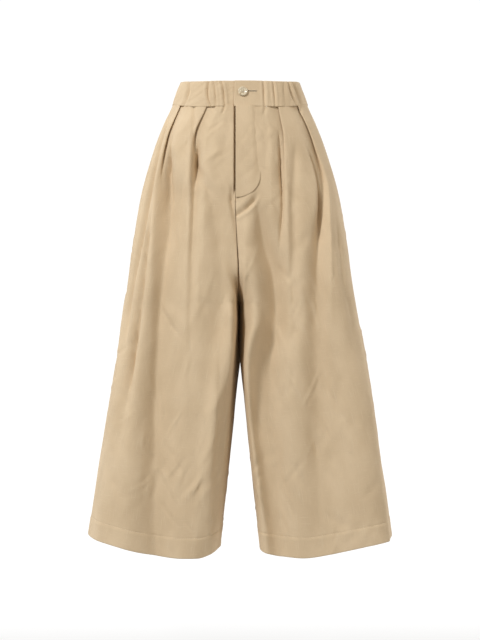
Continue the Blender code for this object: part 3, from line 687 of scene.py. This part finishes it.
def clothUv(points, arc):
    # metres across from the side seam, and metres down the cloth
    down = np.linalg.norm(np.diff(points, axis=0), axis=2)
    down = np.pad(np.cumsum(down.mean(axis=1)), (1, 0))
    across = np.pad(np.cumsum(np.linalg.norm(np.diff(points, axis=1), axis=2), axis=1), ((0, 0), (1, 0)))
    return np.stack([across, np.broadcast_to(-down[:, None], arc.shape)], axis=-1)


rightCreases = [
    {"path": [(29, -24), (31, -32), (33, -40)], "width": 2.4, "depth": 1.8, "start": 1},
    {"path": [(54, -24), (50, -30), (45, -38)], "width": 2.4, "depth": 1.8, "start": 1},
    {"path": [(20, -40), (30, -95), (27, -160)], "width": 8, "depth": 1.2},
    {"path": [(45, -60), (56, -140), (52, -210)], "width": 12, "depth": -1.2},
    {"path": [(128, -90), (132, -180), (136, -260)], "width": 9, "depth": -1.4},
    {"path": [(104, -120), (112, -180), (116, -230)], "width": 7, "depth": 1.4},
]
leftCreases = [
    {"path": [(-4, -232), (14, -220), (27, -205), (37, -186)], "width": 4.0, "depth": 5.0, "lean": 0.35, "start": 0.7},
    {"path": [(48, -24), (47, -33), (44, -46)], "width": 2.4, "depth": 1.5, "start": 1},
    {"path": [(116, -24), (117, -36), (119, -52)], "width": 2.6, "depth": 1.4, "start": 1},
    {"path": [(52, -50), (50, -100), (46, -170)], "width": 6, "depth": 1.1},
    {"path": [(66, -60), (64, -110), (60, -170)], "width": 6, "depth": -0.8},
]


def frontPanel(hand, side, creases, seed):
    levels = rowLevels(bandBottom + legCloth["tuck"], hemLevel, legCloth["frontRows"], [
        (bandBottom, 30, 1.6), (-150, 90, 0.4), (hemLevel + legCloth["hemDepth"], 5, 3.5), (hemLevel, 2, 3.0),
    ])
    ring = halfRing(levels, -1)
    seamX = curveAt(centreSeam, "x", levels) * side
    end = np.minimum(arcAtX(ring, seamX + 0.4), ring["arc"][:, -1] - 0.1)
    arc, lift = frontColumns(ring, hand, end)
    lift = lift + softFolds(ring, arc, frontFolds[hand])
    lift = lift + creaseLift(ring, arc, creases)
    small = scatterCreases(seed, 90, (20, 250, -860, -240), (30, 130), (2.5, 8.0), (0.35, 1.2), 24)
    small += scatterCreases(seed + 5, 30, (15, 120, -230, -40), (25, 70), (2.5, 7.0), (0.3, 0.8), 30)
    ripple = creaseLift(ring, arc, small) + rippleLift(arc, levels[:, None], seed + 11)
    lift = (lift + ripple * smoothStep(-levels[:, None], 25, 60)) * smoothStep(arc, 0, 14)
    lift = lift + seamGroove(arc) + seamGroove(end[:, None] - arc) * smoothStep(-levels[:, None], 195, 215)
    lift = lift + hemStitchLift(arc, levels[:, None])
    if hand == "right":
        x, _ = placeOn(ring, arc, 0)
        upper = 1 - smoothStep(-levels[:, None], -flySlit["rollFades"][0], -flySlit["rollFades"][1])
        roll = smoothStep(-x, flySlit["x"] - flySlit["rollWidth"], flySlit["x"] - 1)
        lift = lift - flySlit["roll"] * upper * roll
    points = placeLeg(ring, arc, lift, side)
    pushForward(points, levels, frontRidges[hand], np.minimum(arc, end[:, None] - arc))
    pushForward(points, levels, centreRidge, arc)
    wall = roundedRim(hemWall(levels), levels - hemLevel)[:, None] * np.ones_like(arc)
    piece = clothShell(f"frontPanel{hand.title()}", points, wall, clothUv(points, arc), linen, (0, -1, 0))
    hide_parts(f"front_panel_{hand}")
    return piece, (levels, points)


def backPanel(hand, side, seed):
    levels = rowLevels(bandBottom + legCloth["tuck"], hemLevel, legCloth["backRows"], [
        (bandBottom, 30, 1.4), (hemLevel + legCloth["hemDepth"], 5, 3.5), (hemLevel, 2, 3.0),
    ])
    ring = halfRing(levels, 1)
    end = np.minimum(arcAtX(ring, 0.4), ring["arc"][:, -1] - 0.1)
    share = np.linspace(0, 1, legCloth["backColumns"])
    share = share - 0.05 * np.sin(2 * math.pi * share) / math.pi
    arc = 0.15 * (1 - share) + end[:, None] * share
    lift = softFolds(ring, arc, backFolds)
    for k in range(backGathers["count"]):
        place = (k + 0.5 + 0.22 * math.sin(2.4 * k)) / backGathers["count"]
        length = backGathers["length"] * (1 + 0.45 * math.sin(1.7 * k + 1))
        fade = smoothStep(levels, bandBottom - length, bandBottom + 5)[:, None]
        d = (arc - place * end[:, None]) / backGathers["width"]
        across = np.exp(-np.abs(d) ** 1.6) - 0.25 * bump(np.abs(d) - 1.9, 0.7)
        lift = lift - backGathers["depth"] * fade * across
    small = scatterCreases(seed, 70, (15, 235, -860, -120), (30, 120), (3.0, 9.0), (0.25, 0.9), 22)
    ripple = creaseLift(ring, arc, small) + rippleLift(arc, levels[:, None], seed + 11)
    lift = lift + ripple * smoothStep(-levels[:, None], 25, 60)
    lift = lift * smoothStep(arc, 0, 12) * smoothStep(end[:, None] - arc, 0, 12)
    lift = lift + seamGroove(arc) + seamGroove(end[:, None] - arc) + hemStitchLift(arc, levels[:, None])
    points = placeLeg(ring, arc, lift, side)
    wall = roundedRim(hemWall(levels), levels - hemLevel)[:, None] * np.ones_like(arc)
    piece = clothShell(f"backPanel{hand.title()}", points, wall, clothUv(points, arc), linen, (0, 1, 0))
    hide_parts(f"back_panel_{hand}")
    return piece, (levels, points)


panels = {}
for hand, side, creases, seed in (("left", 1, leftCreases, 21), ("right", -1, rightCreases, 44)):
    panels["front", hand] = frontPanel(hand, side, creases, seed)
    panels["back", hand] = backPanel(hand, side, seed + 100)
    print(hand, "leg's front and back made")


band = {
    "wall": 3.0,
    "columns": 940,
    "rows": 44,
    "outerEndX": -10.5,
    "underEndX": 28.0,
    "tuckStarts": 64.0,
    "tuckEnds": 46.0,
    "tuck": 3.45,
    "puff": 0.7,  # how far the elastic's channel swells between the edges
    "rearGathers": 24,
    "rearStart": 0.22,
    "rearStop": 0.76,
}
# the front's gathers: x at the top edge, halfway down and at the seam, width and depth
bandGathers = [
    (-97, -98.5, -107, 2.6, 4.6),
    (-58, -61, -54.6, 2.4, 4.4),
    (-49.5, -46.5, -45, 2.0, 2.4),
    (-35, -30.6, -29, 2.2, 3.8),
    (44, 45.5, 46.3, 2.4, 3.4),
    (62.5, 64.5, 67, 2.0, 3.2),
    (83, 84, 86, 3.0, 1.4),
    (92, 97, 109, 2.2, 3.8),
    (100, 108, 116, 2.2, 3.8),
]


def makeWaistband():
    # the ring's outline |x/w|^n + |y/d|^n = 1 from the outer end, round the wearer, to the
    # under end behind the start; gathers are V-shaped troughs with a swelling at each side
    turnStart = math.asin(band["outerEndX"] / curveAt(legForm, "front", 0.0))
    turnStop = 2 * math.pi + math.asin(band["underEndX"] / curveAt(legForm, "front", 0.0))
    turn = np.linspace(turnStart, turnStop, band["columns"])
    rowShare = 0.5 - 0.5 * np.cos(np.linspace(0, math.pi, band["rows"]))
    rowShare = 0.45 * rowShare + 0.55 * np.linspace(0, 1, band["rows"])
    level = (bandTop + (bandBottom - bandTop) * rowShare)[:, None]
    n = curveAt(legForm, "roundness", level)
    halfWidth = curveAt(legForm, "outer", level)
    depth = np.where(np.cos(turn) > 0, curveAt(legForm, "front", level), curveAt(legForm, "back", level))
    reach = (np.abs(np.sin(turn) / halfWidth) ** n + np.abs(np.cos(turn) / depth) ** n) ** (-1 / n)
    x, y = reach * np.sin(turn), -reach * np.cos(turn)
    slopeX, slopeY = np.gradient(x, axis=1), np.gradient(y, axis=1)
    length = np.hypot(slopeX, slopeY)
    arc = np.pad(np.cumsum(np.hypot(np.diff(x, axis=1), np.diff(y, axis=1)), axis=1), ((0, 0), (1, 0)))
    share = arc / arc[:, -1:]
    down = (bandTop - level) / (bandTop - bandBottom)
    lift = band["puff"] * np.sin(math.pi * down) ** 0.8 * np.ones_like(x)

    def groove(distance, width, depth):
        d = np.abs(distance) / width
        return -depth * (np.exp(-(d**1.35)) - 0.3 * np.exp(-((d - 2.1) ** 2) / 0.8))

    for top, middle, bottom, width, depthOf in bandGathers:
        centre = (1 - down) * (1 - 2 * down) * top + 4 * down * (1 - down) * middle
        centre = centre + down * (2 * down - 1) * bottom
        swell = 0.75 + 0.25 * np.cos(2 * math.pi * (down - 0.45))
        lift += groove(x - centre, width, depthOf) * (y < 0) * swell
    for k in range(band["rearGathers"]):
        place = (k + 0.5 + 0.25 * math.sin(2.1 * k)) / band["rearGathers"]
        place = band["rearStart"] + (band["rearStop"] - band["rearStart"]) * place
        wander = 0.004 * np.sin(3.0 * down + 1.9 * k)
        lift += groove((share - place - wander) * arc[:, -1:], 3.4, 2.9 * (0.75 + 0.25 * math.sin(3.3 * k)))
    lift += 0.35 * softNoise(arc / 9, level / 22, 5) + 0.2 * softNoise(arc / 4, level / 9, 6)
    tucked = 1 - smoothStep(arc[:, -1:] - arc, band["tuckEnds"], band["tuckStarts"])
    flat = smoothStep(x, -14, -4) * (1 - smoothStep(x, 34, 44)) * (y < 0)
    lift = lift * (1 - 0.75 * flat) - band["tuck"] * tucked
    rise = flow["sideRiseTop"] + (flow["sideRiseSeam"] - flow["sideRiseTop"]) * down
    z = level + rise * sideShare(x, level)
    points = np.stack([x + lift * slopeY / length, y - lift * slopeX / length, z], axis=-1)
    fromEdge = np.minimum(bandTop - level, level - bandBottom)
    fromEnds = np.minimum(arc, arc[:, -1:] - arc)
    wall = roundedRim(band["wall"], np.minimum(fromEdge * np.ones_like(x), fromEnds))
    uv = np.stack([arc, level * np.ones_like(arc)], axis=-1)
    piece = clothShell("waistBand", points, wall, uv, linen, (0, 0, 0))
    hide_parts("waistband")
    return piece


waistbandPiece = makeWaistband()
print("waistband made")


fly = {
    "widthTop": 38.0,
    "widthLow": 48.0,
    "bottom": -198.0,
    "curveRise": 42.0,
    "wall": 1.2,
    "lift": 2.2,
    "rows": 150,
    "columns": 62,
    "shieldLift": -2.75,
}
flapCreases = [
    ([(22, -60), (8, -84), (-4, -100)], 4.5, 0.7),
    ([(30, -96), (14, -118), (0, -134)], 5, 0.6),
    ([(34, -128), (18, -150), (4, -160)], 5, 0.7),
    ([(26, -48), (29, -80), (28, -118)], 5, 0.5),
]


def makeFlap():
    # rows run from the band to the rounded lower end; the outer edge sinks into the front above
    # the rounded end, where no edge shows
    even = np.linspace(0, 1, fly["columns"])
    share = 0.5 * (1 - np.cos(math.pi * even)) * 0.6 + 0.4 * even
    down = np.linspace(0, 1, fly["rows"])[:, None]
    down = down + 0.1 * np.sin(math.pi * down) ** 2
    bottom = fly["bottom"] + fly["curveRise"] * (1 - np.cos(share * math.pi / 2))
    top = bandBottom + 2.5
    z = top + (bottom - top) * down
    width = fly["widthTop"] + (fly["widthLow"] - fly["widthTop"]) * (top - z) / (top - fly["bottom"])
    x = flySlit["x"] + width * np.sin(share * math.pi / 2)
    rim = smoothStep(-z, 138, 172)
    merge = smoothStep(share, 0.5, 0.92) * (1 - rim)
    lift = fly["lift"] * (1 - merge) - 1.4 * merge
    for path, creaseWidth, depth in flapCreases:
        for k in range(len(path) - 1):
            (ax, az), (bx, bz) = path[k], path[k + 1]
            s = ((x - ax) * (bx - ax) + (z - az) * (bz - az)) / ((bx - ax) ** 2 + (bz - az) ** 2)
            s = np.clip(s, 0, 1)
            d = np.hypot(x - ax - s * (bx - ax), z - az - s * (bz - az))
            lift = lift - 0.5 * depth * bump(d, creaseWidth)
    lift = lift + 0.22 * softNoise(x / 8, z / 22, 15) + 0.3 * softNoise(x / 20, z / 50, 16)
    y = frontY(x, z) - lift
    points = np.stack([x, y, z], axis=-1)
    fromEdge = np.minimum((1 - down) * 150 * np.ones_like(x), x - flySlit["x"])
    wall = roundedRim(fly["wall"], fromEdge)
    piece = clothShell("flyFlap", points, wall, np.stack([x, z], axis=-1), linen, (0, -1, 0))
    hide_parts("fly_flap")
    return piece


def makeShield():
    x = np.linspace(-27, 22, 40) * np.ones((70, 1))
    z = np.linspace(-28, -180, 70)[:, None] * np.ones(40)
    upper = 1 - smoothStep(-z, 165, 196)
    roll = smoothStep(x, flySlit["x"] - flySlit["rollWidth"], flySlit["x"] - 1)
    lift = fly["shieldLift"] - flySlit["roll"] * upper * roll + 0.15 * softNoise(x / 6, z / 15, 31)
    points = np.stack([x, frontY(x, z) - lift, z], axis=-1)
    piece = clothShell("flyShield", points, 1.0, np.stack([x, z], axis=-1), linen, (0, -1, 0))
    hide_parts("fly_shield")
    return piece


flapPiece = makeFlap()
shieldPiece = makeShield()
print("fly made")


thread = {"light": (0.80, 0.68, 0.50), "dark": (0.66, 0.52, 0.35), "roughness": 0.6}


def threadFinish(name, colour):
    # twisted strands: a fine wave along the thread makes the bump
    made, nodes, links, shader = newMaterial(name, colour, thread["roughness"])
    place = nodes.new("ShaderNodeTexCoord")
    wave = nodes.new("ShaderNodeTexWave")
    wave.bands_direction = "DIAGONAL"
    wave.inputs["Scale"].default_value = 900
    links.new(place.outputs["Object"], wave.inputs["Vector"])
    bumpNode = nodes.new("ShaderNodeBump")
    bumpNode.inputs["Distance"].default_value = 0.0001
    links.new(wave.outputs["Fac"], bumpNode.inputs["Height"])
    links.new(bumpNode.outputs["Normal"], shader.inputs["Normal"])
    ramp = nodes.new("ShaderNodeMix")
    ramp.data_type = "RGBA"
    ramp.inputs[6].default_value = (*colour, 1)
    ramp.inputs[7].default_value = (*[c * 0.8 for c in colour], 1)
    links.new(wave.outputs["Fac"], ramp.inputs["Factor"])
    links.new(ramp.outputs[2], shader.inputs["Base Color"])
    return made


hemThread = threadFinish("hemThread", thread["light"])


def stitchMesh(name, starts, ends, normals, radius, material, sides=6):
    # each stitch is a tube from its start to its end, bowed up along the normal and closing to a
    # point at both ends: radius * sin(pi t)^0.5 about start + (end - start) t
    t = np.linspace(0, 1, 6)
    angle = np.linspace(0, 2 * math.pi, sides, endpoint=False)
    along = ends - starts
    length = np.linalg.norm(along, axis=1, keepdims=True)
    tangent = along / length
    up = normals - (normals * tangent).sum(axis=1, keepdims=True) * tangent
    up /= np.linalg.norm(up, axis=1, keepdims=True)
    across = np.cross(tangent, up)
    centre = starts[:, None, :] + along[:, None, :] * t[None, :, None]
    centre = centre + up[:, None, :] * (radius * 0.9 * np.sin(math.pi * t))[None, :, None]
    size = radius * np.maximum(np.sin(math.pi * t), 0.15) ** 0.5
    ringPoints = centre[:, :, None, :] + size[None, :, None, None] * (
        np.cos(angle)[None, None, :, None] * across[:, None, None, :]
        + np.sin(angle)[None, None, :, None] * up[:, None, None, :]
    )
    count, steps = len(starts), len(t)
    one = np.arange(steps * sides).reshape(steps, sides)
    turned = np.roll(one, -1, 1)
    quads = np.stack([one[:-1], turned[:-1], turned[1:], one[1:]], axis=-1).reshape(-1, 4)
    caps = np.array([
        one[0, [0, 3, 2, 1]], one[0, [0, 5, 4, 3]], one[-1, [0, 1, 2, 3]], one[-1, [0, 3, 4, 5]],
    ])
    faces = np.concatenate([quads, caps])
    faces = (faces[None] + (np.arange(count) * steps * sides)[:, None, None]).reshape(-1, 4)
    return makeMesh(name, ringPoints.reshape(-1, 3), faces, material)


hemStitch = {"length": 3.2, "pitch": 4.2, "first": 2.5, "last": 4.5, "sunk": 0.05, "radius": 0.34}


def hemStitches(hand):
    # stitches of one length at one pitch round the whole leg, on the cloth's outer face
    starts, ends, normals = [], [], []
    for half, turnOut in (("front", -1), ("back", 1)):
        levels, points = panels[half, hand][1]
        row = int(np.argmin(np.abs(levels - (hemLevel + legCloth["hemDepth"]))))
        normal = surfaceNormals(points)
        normal = normal * (1 if (normal[..., 1] * turnOut).sum() > 0 else -1)
        wall = float(hemWall(levels[row]))
        line = points[row] + normal[row] * (wall / 2 - hemStitch["sunk"])
        run = np.pad(np.cumsum(np.linalg.norm(np.diff(line, axis=0), axis=1)), (1, 0))
        at = np.arange(hemStitch["first"], run[-1] - hemStitch["last"], hemStitch["pitch"])
        pick = lambda d: np.stack([np.interp(d, run, line[:, k]) for k in range(3)], axis=1)
        starts.append(pick(at))
        ends.append(pick(at + hemStitch["length"]))
        middle = at + hemStitch["length"] / 2
        normals.append(np.stack([np.interp(middle, run, normal[row][:, k]) for k in range(3)], axis=1))
    lines = map(np.concatenate, (starts, ends, normals))
    piece = stitchMesh(f"hemStitches{hand.title()}", *lines, hemStitch["radius"], hemThread)
    return piece


stitches = {hand: hemStitches(hand) for hand in ("left", "right")}
print("hem stitches made")


button = {
    "x": 5.5,
    "z": 4.0,
    "radius": 9.25,
    "thickness": 3.4,
    "holeRadius": 0.95,
    "holeReach": 2.4,
    "out": 3.65,  # the button's middle stands this far outside the band's form
    "light": (0.74, 0.66, 0.50),
    "dark": (0.40, 0.28, 0.15),
}


def pearlFinish():
    # swirls of light and dark horn under a clear gloss
    made, nodes, links, shader = newMaterial("hornButton", button["light"], 0.28)
    place = nodes.new("ShaderNodeTexCoord")
    swirl = nodes.new("ShaderNodeTexNoise")
    swirl.inputs["Scale"].default_value = 160
    swirl.inputs["Detail"].default_value = 3
    swirl.inputs["Distortion"].default_value = 1.6
    links.new(place.outputs["Object"], swirl.inputs["Vector"])
    mix = nodes.new("ShaderNodeMix")
    mix.data_type = "RGBA"
    mix.inputs[6].default_value = (*button["dark"], 1)
    mix.inputs[7].default_value = (*button["light"], 1)
    veins = nodes.new("ShaderNodeMapRange")
    veins.inputs["From Min"].default_value = 0.25
    veins.inputs["From Max"].default_value = 0.55
    links.new(swirl.outputs["Fac"], veins.inputs["Value"])
    links.new(veins.outputs["Result"], mix.inputs["Factor"])
    links.new(mix.outputs[2], shader.inputs["Base Color"])
    shader.inputs["Coat Weight"].default_value = 0.5
    shader.inputs["Coat Roughness"].default_value = 0.12
    return made


def buttonFrame():
    # the button lies on the band: its axis is the band's outward normal there
    x, z, step = button["x"], button["z"], 4.0
    centre = np.array([x, frontY(x, z) - button["out"], z])
    down = np.array([0, float(frontY(x, z - step) - frontY(x, z + step)), -2 * step])
    across = np.array([2 * step, float(frontY(x + step, z) - frontY(x - step, z)), 0])
    down, across = down / np.linalg.norm(down), across / np.linalg.norm(across)
    out = np.cross(across, -down)
    out = out if out[1] < 0 else -out
    return centre, across, np.cross(out, across), out / np.linalg.norm(out)


def makeButton():
    # a turned profile, then four dimples where the thread goes through
    centre, across, up, out = buttonFrame()
    r, half = button["radius"], button["thickness"] / 2
    profile = np.array([
        (0.0, half - 1.15), (0.28, half - 1.15), (0.46, half - 1.1), (0.56, half - 0.75), (0.64, half - 0.25),
        (0.72, half - 0.02), (0.80, half), (0.88, half - 0.15), (0.95, half - 0.6), (0.995, 0.25), (1.0, 0.0),
        (0.985, -0.35), (0.93, 0.45 - half), (0.8, 0.1 - half), (0.55, -half), (0.0, -half),
    ])
    key = np.linspace(0, 1, len(profile))
    place = np.linspace(0, 1, 96)
    radius = np.interp(place, key, profile[:, 0]) * r
    height = np.interp(place, key, profile[:, 1])
    turn = np.linspace(0, 2 * math.pi, 97)[:-1]
    x, y = radius[:, None] * np.cos(turn), radius[:, None] * np.sin(turn)
    h = height[:, None] * np.ones_like(x)
    front = place[:, None] < 0.6
    for k in range(4):
        angle = math.pi / 4 + k * math.pi / 2 + 0.2
        d = np.hypot(x - button["holeReach"] * math.cos(angle), y - button["holeReach"] * math.sin(angle))
        h = h - 1.5 * np.exp(-((d / button["holeRadius"]) ** 4)) * front
    points = centre + x[..., None] * across + y[..., None] * up + h[..., None] * out
    rows, columns, _ = points.shape
    index = np.arange(rows * columns).reshape(rows, columns)
    index = np.concatenate([index, index[:, :1]], axis=1)
    faces = np.stack([index[:-1, :-1], index[1:, :-1], index[1:, 1:], index[:-1, 1:]], axis=-1)
    faces = faces.reshape(-1, 4)
    piece = makeMesh("waistButton", points.reshape(-1, 3), faces, pearlFinish())
    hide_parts("button")
    return piece


def makeButtonThread():
    # two strands cross between each pair of holes
    centre, across, up, out = buttonFrame()
    top = button["thickness"] / 2 - 1.05
    starts, ends = [], []
    for k in range(4):
        for shift in (-0.28, 0.28):
            a = math.pi / 4 + k * math.pi / 2 + 0.2
            b = a + math.pi / 2 if k % 2 == 0 else a + math.pi
            for angle, store in ((a, starts), (b, ends)):
                store.append(centre + button["holeReach"] * (math.cos(angle) * across + math.sin(angle) * up)
                             + shift * up + (top - 0.2) * out)
    starts, ends = np.array(starts), np.array(ends)
    normals = np.tile(out, (len(starts), 1))
    finish = threadFinish("buttonThreadFinish", (0.86, 0.78, 0.64))
    piece = stitchMesh("buttonThread", starts, ends, normals, 0.34, finish)
    return piece


def makeButtonhole():
    # satin stitches round a slit that runs sideways from under the button, and a dark sheet over the slit that is
    # painted shade
    left, right, level = 13.0, 32.0, 5.0
    base = lambda x, z, out: np.stack([x, frontY(x, z) - out, z], axis=-1)
    x = np.arange(left, right, 0.62)
    starts, ends = [], []
    for way in (1, -1):
        gape = 0.25 + 0.45 * (1 - smoothStep(x, left, left + 9))
        starts.append(base(x, level + way * gape, 1.75 + 0 * x))
        ends.append(base(x, level + way * (gape + 1.5), 1.75 + 0 * x))
    starts, ends = np.concatenate(starts), np.concatenate(ends)
    normals = np.tile([0.0, -1.0, 0.0], (len(starts), 1))
    piece = stitchMesh("buttonholeStitches", starts, ends, normals, 0.36, hemThread)
    # a dark brown sheet laid just outside the band along the slit: painted shade in place of the shadow inside the
    # slit
    slit = np.linspace(left, right, 40)
    gape = 0.3 + 0.45 * (1 - smoothStep(slit, left, left + 9))
    gape = gape * np.clip((right - slit) / 1.5, 0.05, 1)
    rowsOf = np.stack([base(slit, level + s * gape, 2.02 + 0 * slit) for s in np.linspace(-1, 1, 5)])
    made = newMaterial("slitShade", (0.16, 0.10, 0.055), 0.9)[0]
    slitPaintedShade = clothShell("buttonholeSlitPaintedShade", rowsOf, 0.2, rowsOf[..., [0, 2]], made, (0, -1, 0))
    return piece, slitPaintedShade


makeButton()
makeButtonThread()
holeStitches, holeSlitPaintedShade = makeButtonhole()
print("button and buttonhole made")


stage = {
    "floor": -1.06,
    "floorRadius": 5.0,
    "bend": 2.0,
    "domeHeight": 4.0,
    "paint": (0.02, 0.02, 0.02),
    "behind": (1.0, 1.0, 1.0, 1),  # the glow of the half behind the garment
    "before": (0.27, 0.25, 0.215, 1),  # and of the half in front of it
    "glowFrom": -1.2,
    "glowTo": 0.5,
}


def makeStage():
    # a round floor that bends up into a dome: (radius, height) runs along a flat, a quarter
    # turn and a quarter of an ellipse, and turns about the upright axis
    turn = np.linspace(0, math.pi / 2, 24)
    wide = stage["floorRadius"] + stage["bend"]
    radius = np.concatenate([
        [0.0005, 1.5, 3.0], stage["floorRadius"] + stage["bend"] * np.sin(turn),
        wide * np.cos(turn[1:-1]), [0.0005],
    ])
    height = np.concatenate([
        [0, 0, 0], stage["bend"] * (1 - np.cos(turn)), stage["bend"] + stage["domeHeight"] * np.sin(turn[1:]),
    ])
    around = np.linspace(0, 2 * math.pi, 73)
    level = (height[:, None] + stage["floor"]) * np.ones_like(around)
    points = np.stack([radius[:, None] * np.cos(around), radius[:, None] * np.sin(around), level], axis=-1)
    made, nodes, links, shader = newMaterial("paleStage", stage["paint"], 0.9)
    shader.inputs["Emission Strength"].default_value = 1.0
    kinds = ("TexCoord", "SeparateXYZ", "MapRange", "Mix")
    where, split, share, tone = (nodes.new(f"ShaderNode{kind}") for kind in kinds)
    links.new(where.outputs["Object"], split.inputs["Vector"])
    links.new(split.outputs["Y"], share.inputs["Value"])
    share.interpolation_type = "SMOOTHSTEP"
    share.inputs["From Min"].default_value = stage["glowFrom"]
    share.inputs["From Max"].default_value = stage["glowTo"]
    tone.data_type = "RGBA"
    tone.inputs[6].default_value = stage["before"]
    tone.inputs[7].default_value = stage["behind"]
    links.new(share.outputs["Result"], tone.inputs["Factor"])
    links.new(tone.outputs[2], shader.inputs["Emission Color"])
    mesh = bpy.data.meshes.new("studioFloor")
    faces = gridFaces(len(radius), len(around))[:, ::-1]
    mesh.from_pydata(points.reshape(-1, 3).tolist(), [], faces.tolist())
    mesh.materials.append(made)
    mesh.shade_smooth()
    floor = bpy.data.objects.new("studioFloor", mesh)
    bpy.context.scene.collection.objects.link(floor)
    floor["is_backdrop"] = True


lights = {
    "aim": (0, 0, -0.2),
    "keyLight": {"place": (-2.15, -2.4, 2.0), "size": 0.75, "power": 114, "colour": (1, 1, 1)},
    "fillLight": {"place": (3.0, -2.7, 1.8), "size": 1.4, "power": 46, "colour": (1, 0.92, 0.82)},
    "backLight": {"place": (2.8, 2.2, 1.9), "size": 0.9, "power": 16, "colour": (1, 1, 1)},
}


def softLight(name, place, size, power, colour):
    # a round lamp turned so that its face looks at the aim
    lamp = bpy.data.lights.new(name, "AREA")
    lamp.color = colour
    lamp.shape = "DISK"
    lamp.size = size
    lamp.energy = power
    made = bpy.data.objects.new(name, lamp)
    bpy.context.scene.collection.objects.link(made)
    made.location = place
    away = np.array(place) - np.array(lights["aim"])
    yaw = math.atan2(away[0], -away[1])
    pitch = math.atan2(math.hypot(away[0], away[1]), away[2])
    made.rotation_euler = (pitch, 0, yaw)


makeStage()
for name in ("keyLight", "fillLight", "backLight"):
    softLight(name, **lights[name])

bpy.context.scene.view_settings.view_transform = "Standard"

camera = {"distance": 3.0, "height": -0.4276, "seenHeight": 1.248, "sensor": 36.0}
lens = bpy.data.cameras.new("camera")
lens.sensor_width = camera["sensor"]
lens.lens = camera["sensor"] * camera["distance"] / camera["seenHeight"]
view = bpy.data.objects.new("camera", lens)
bpy.context.scene.collection.objects.link(view)
view.location = (0, -camera["distance"], camera["height"])
view.rotation_euler = (math.pi / 2, 0, 0)
bpy.context.scene.camera = view

{"cad": cadBox, "visual": [list(corner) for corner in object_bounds()]}
print("stage, lights and camera set")
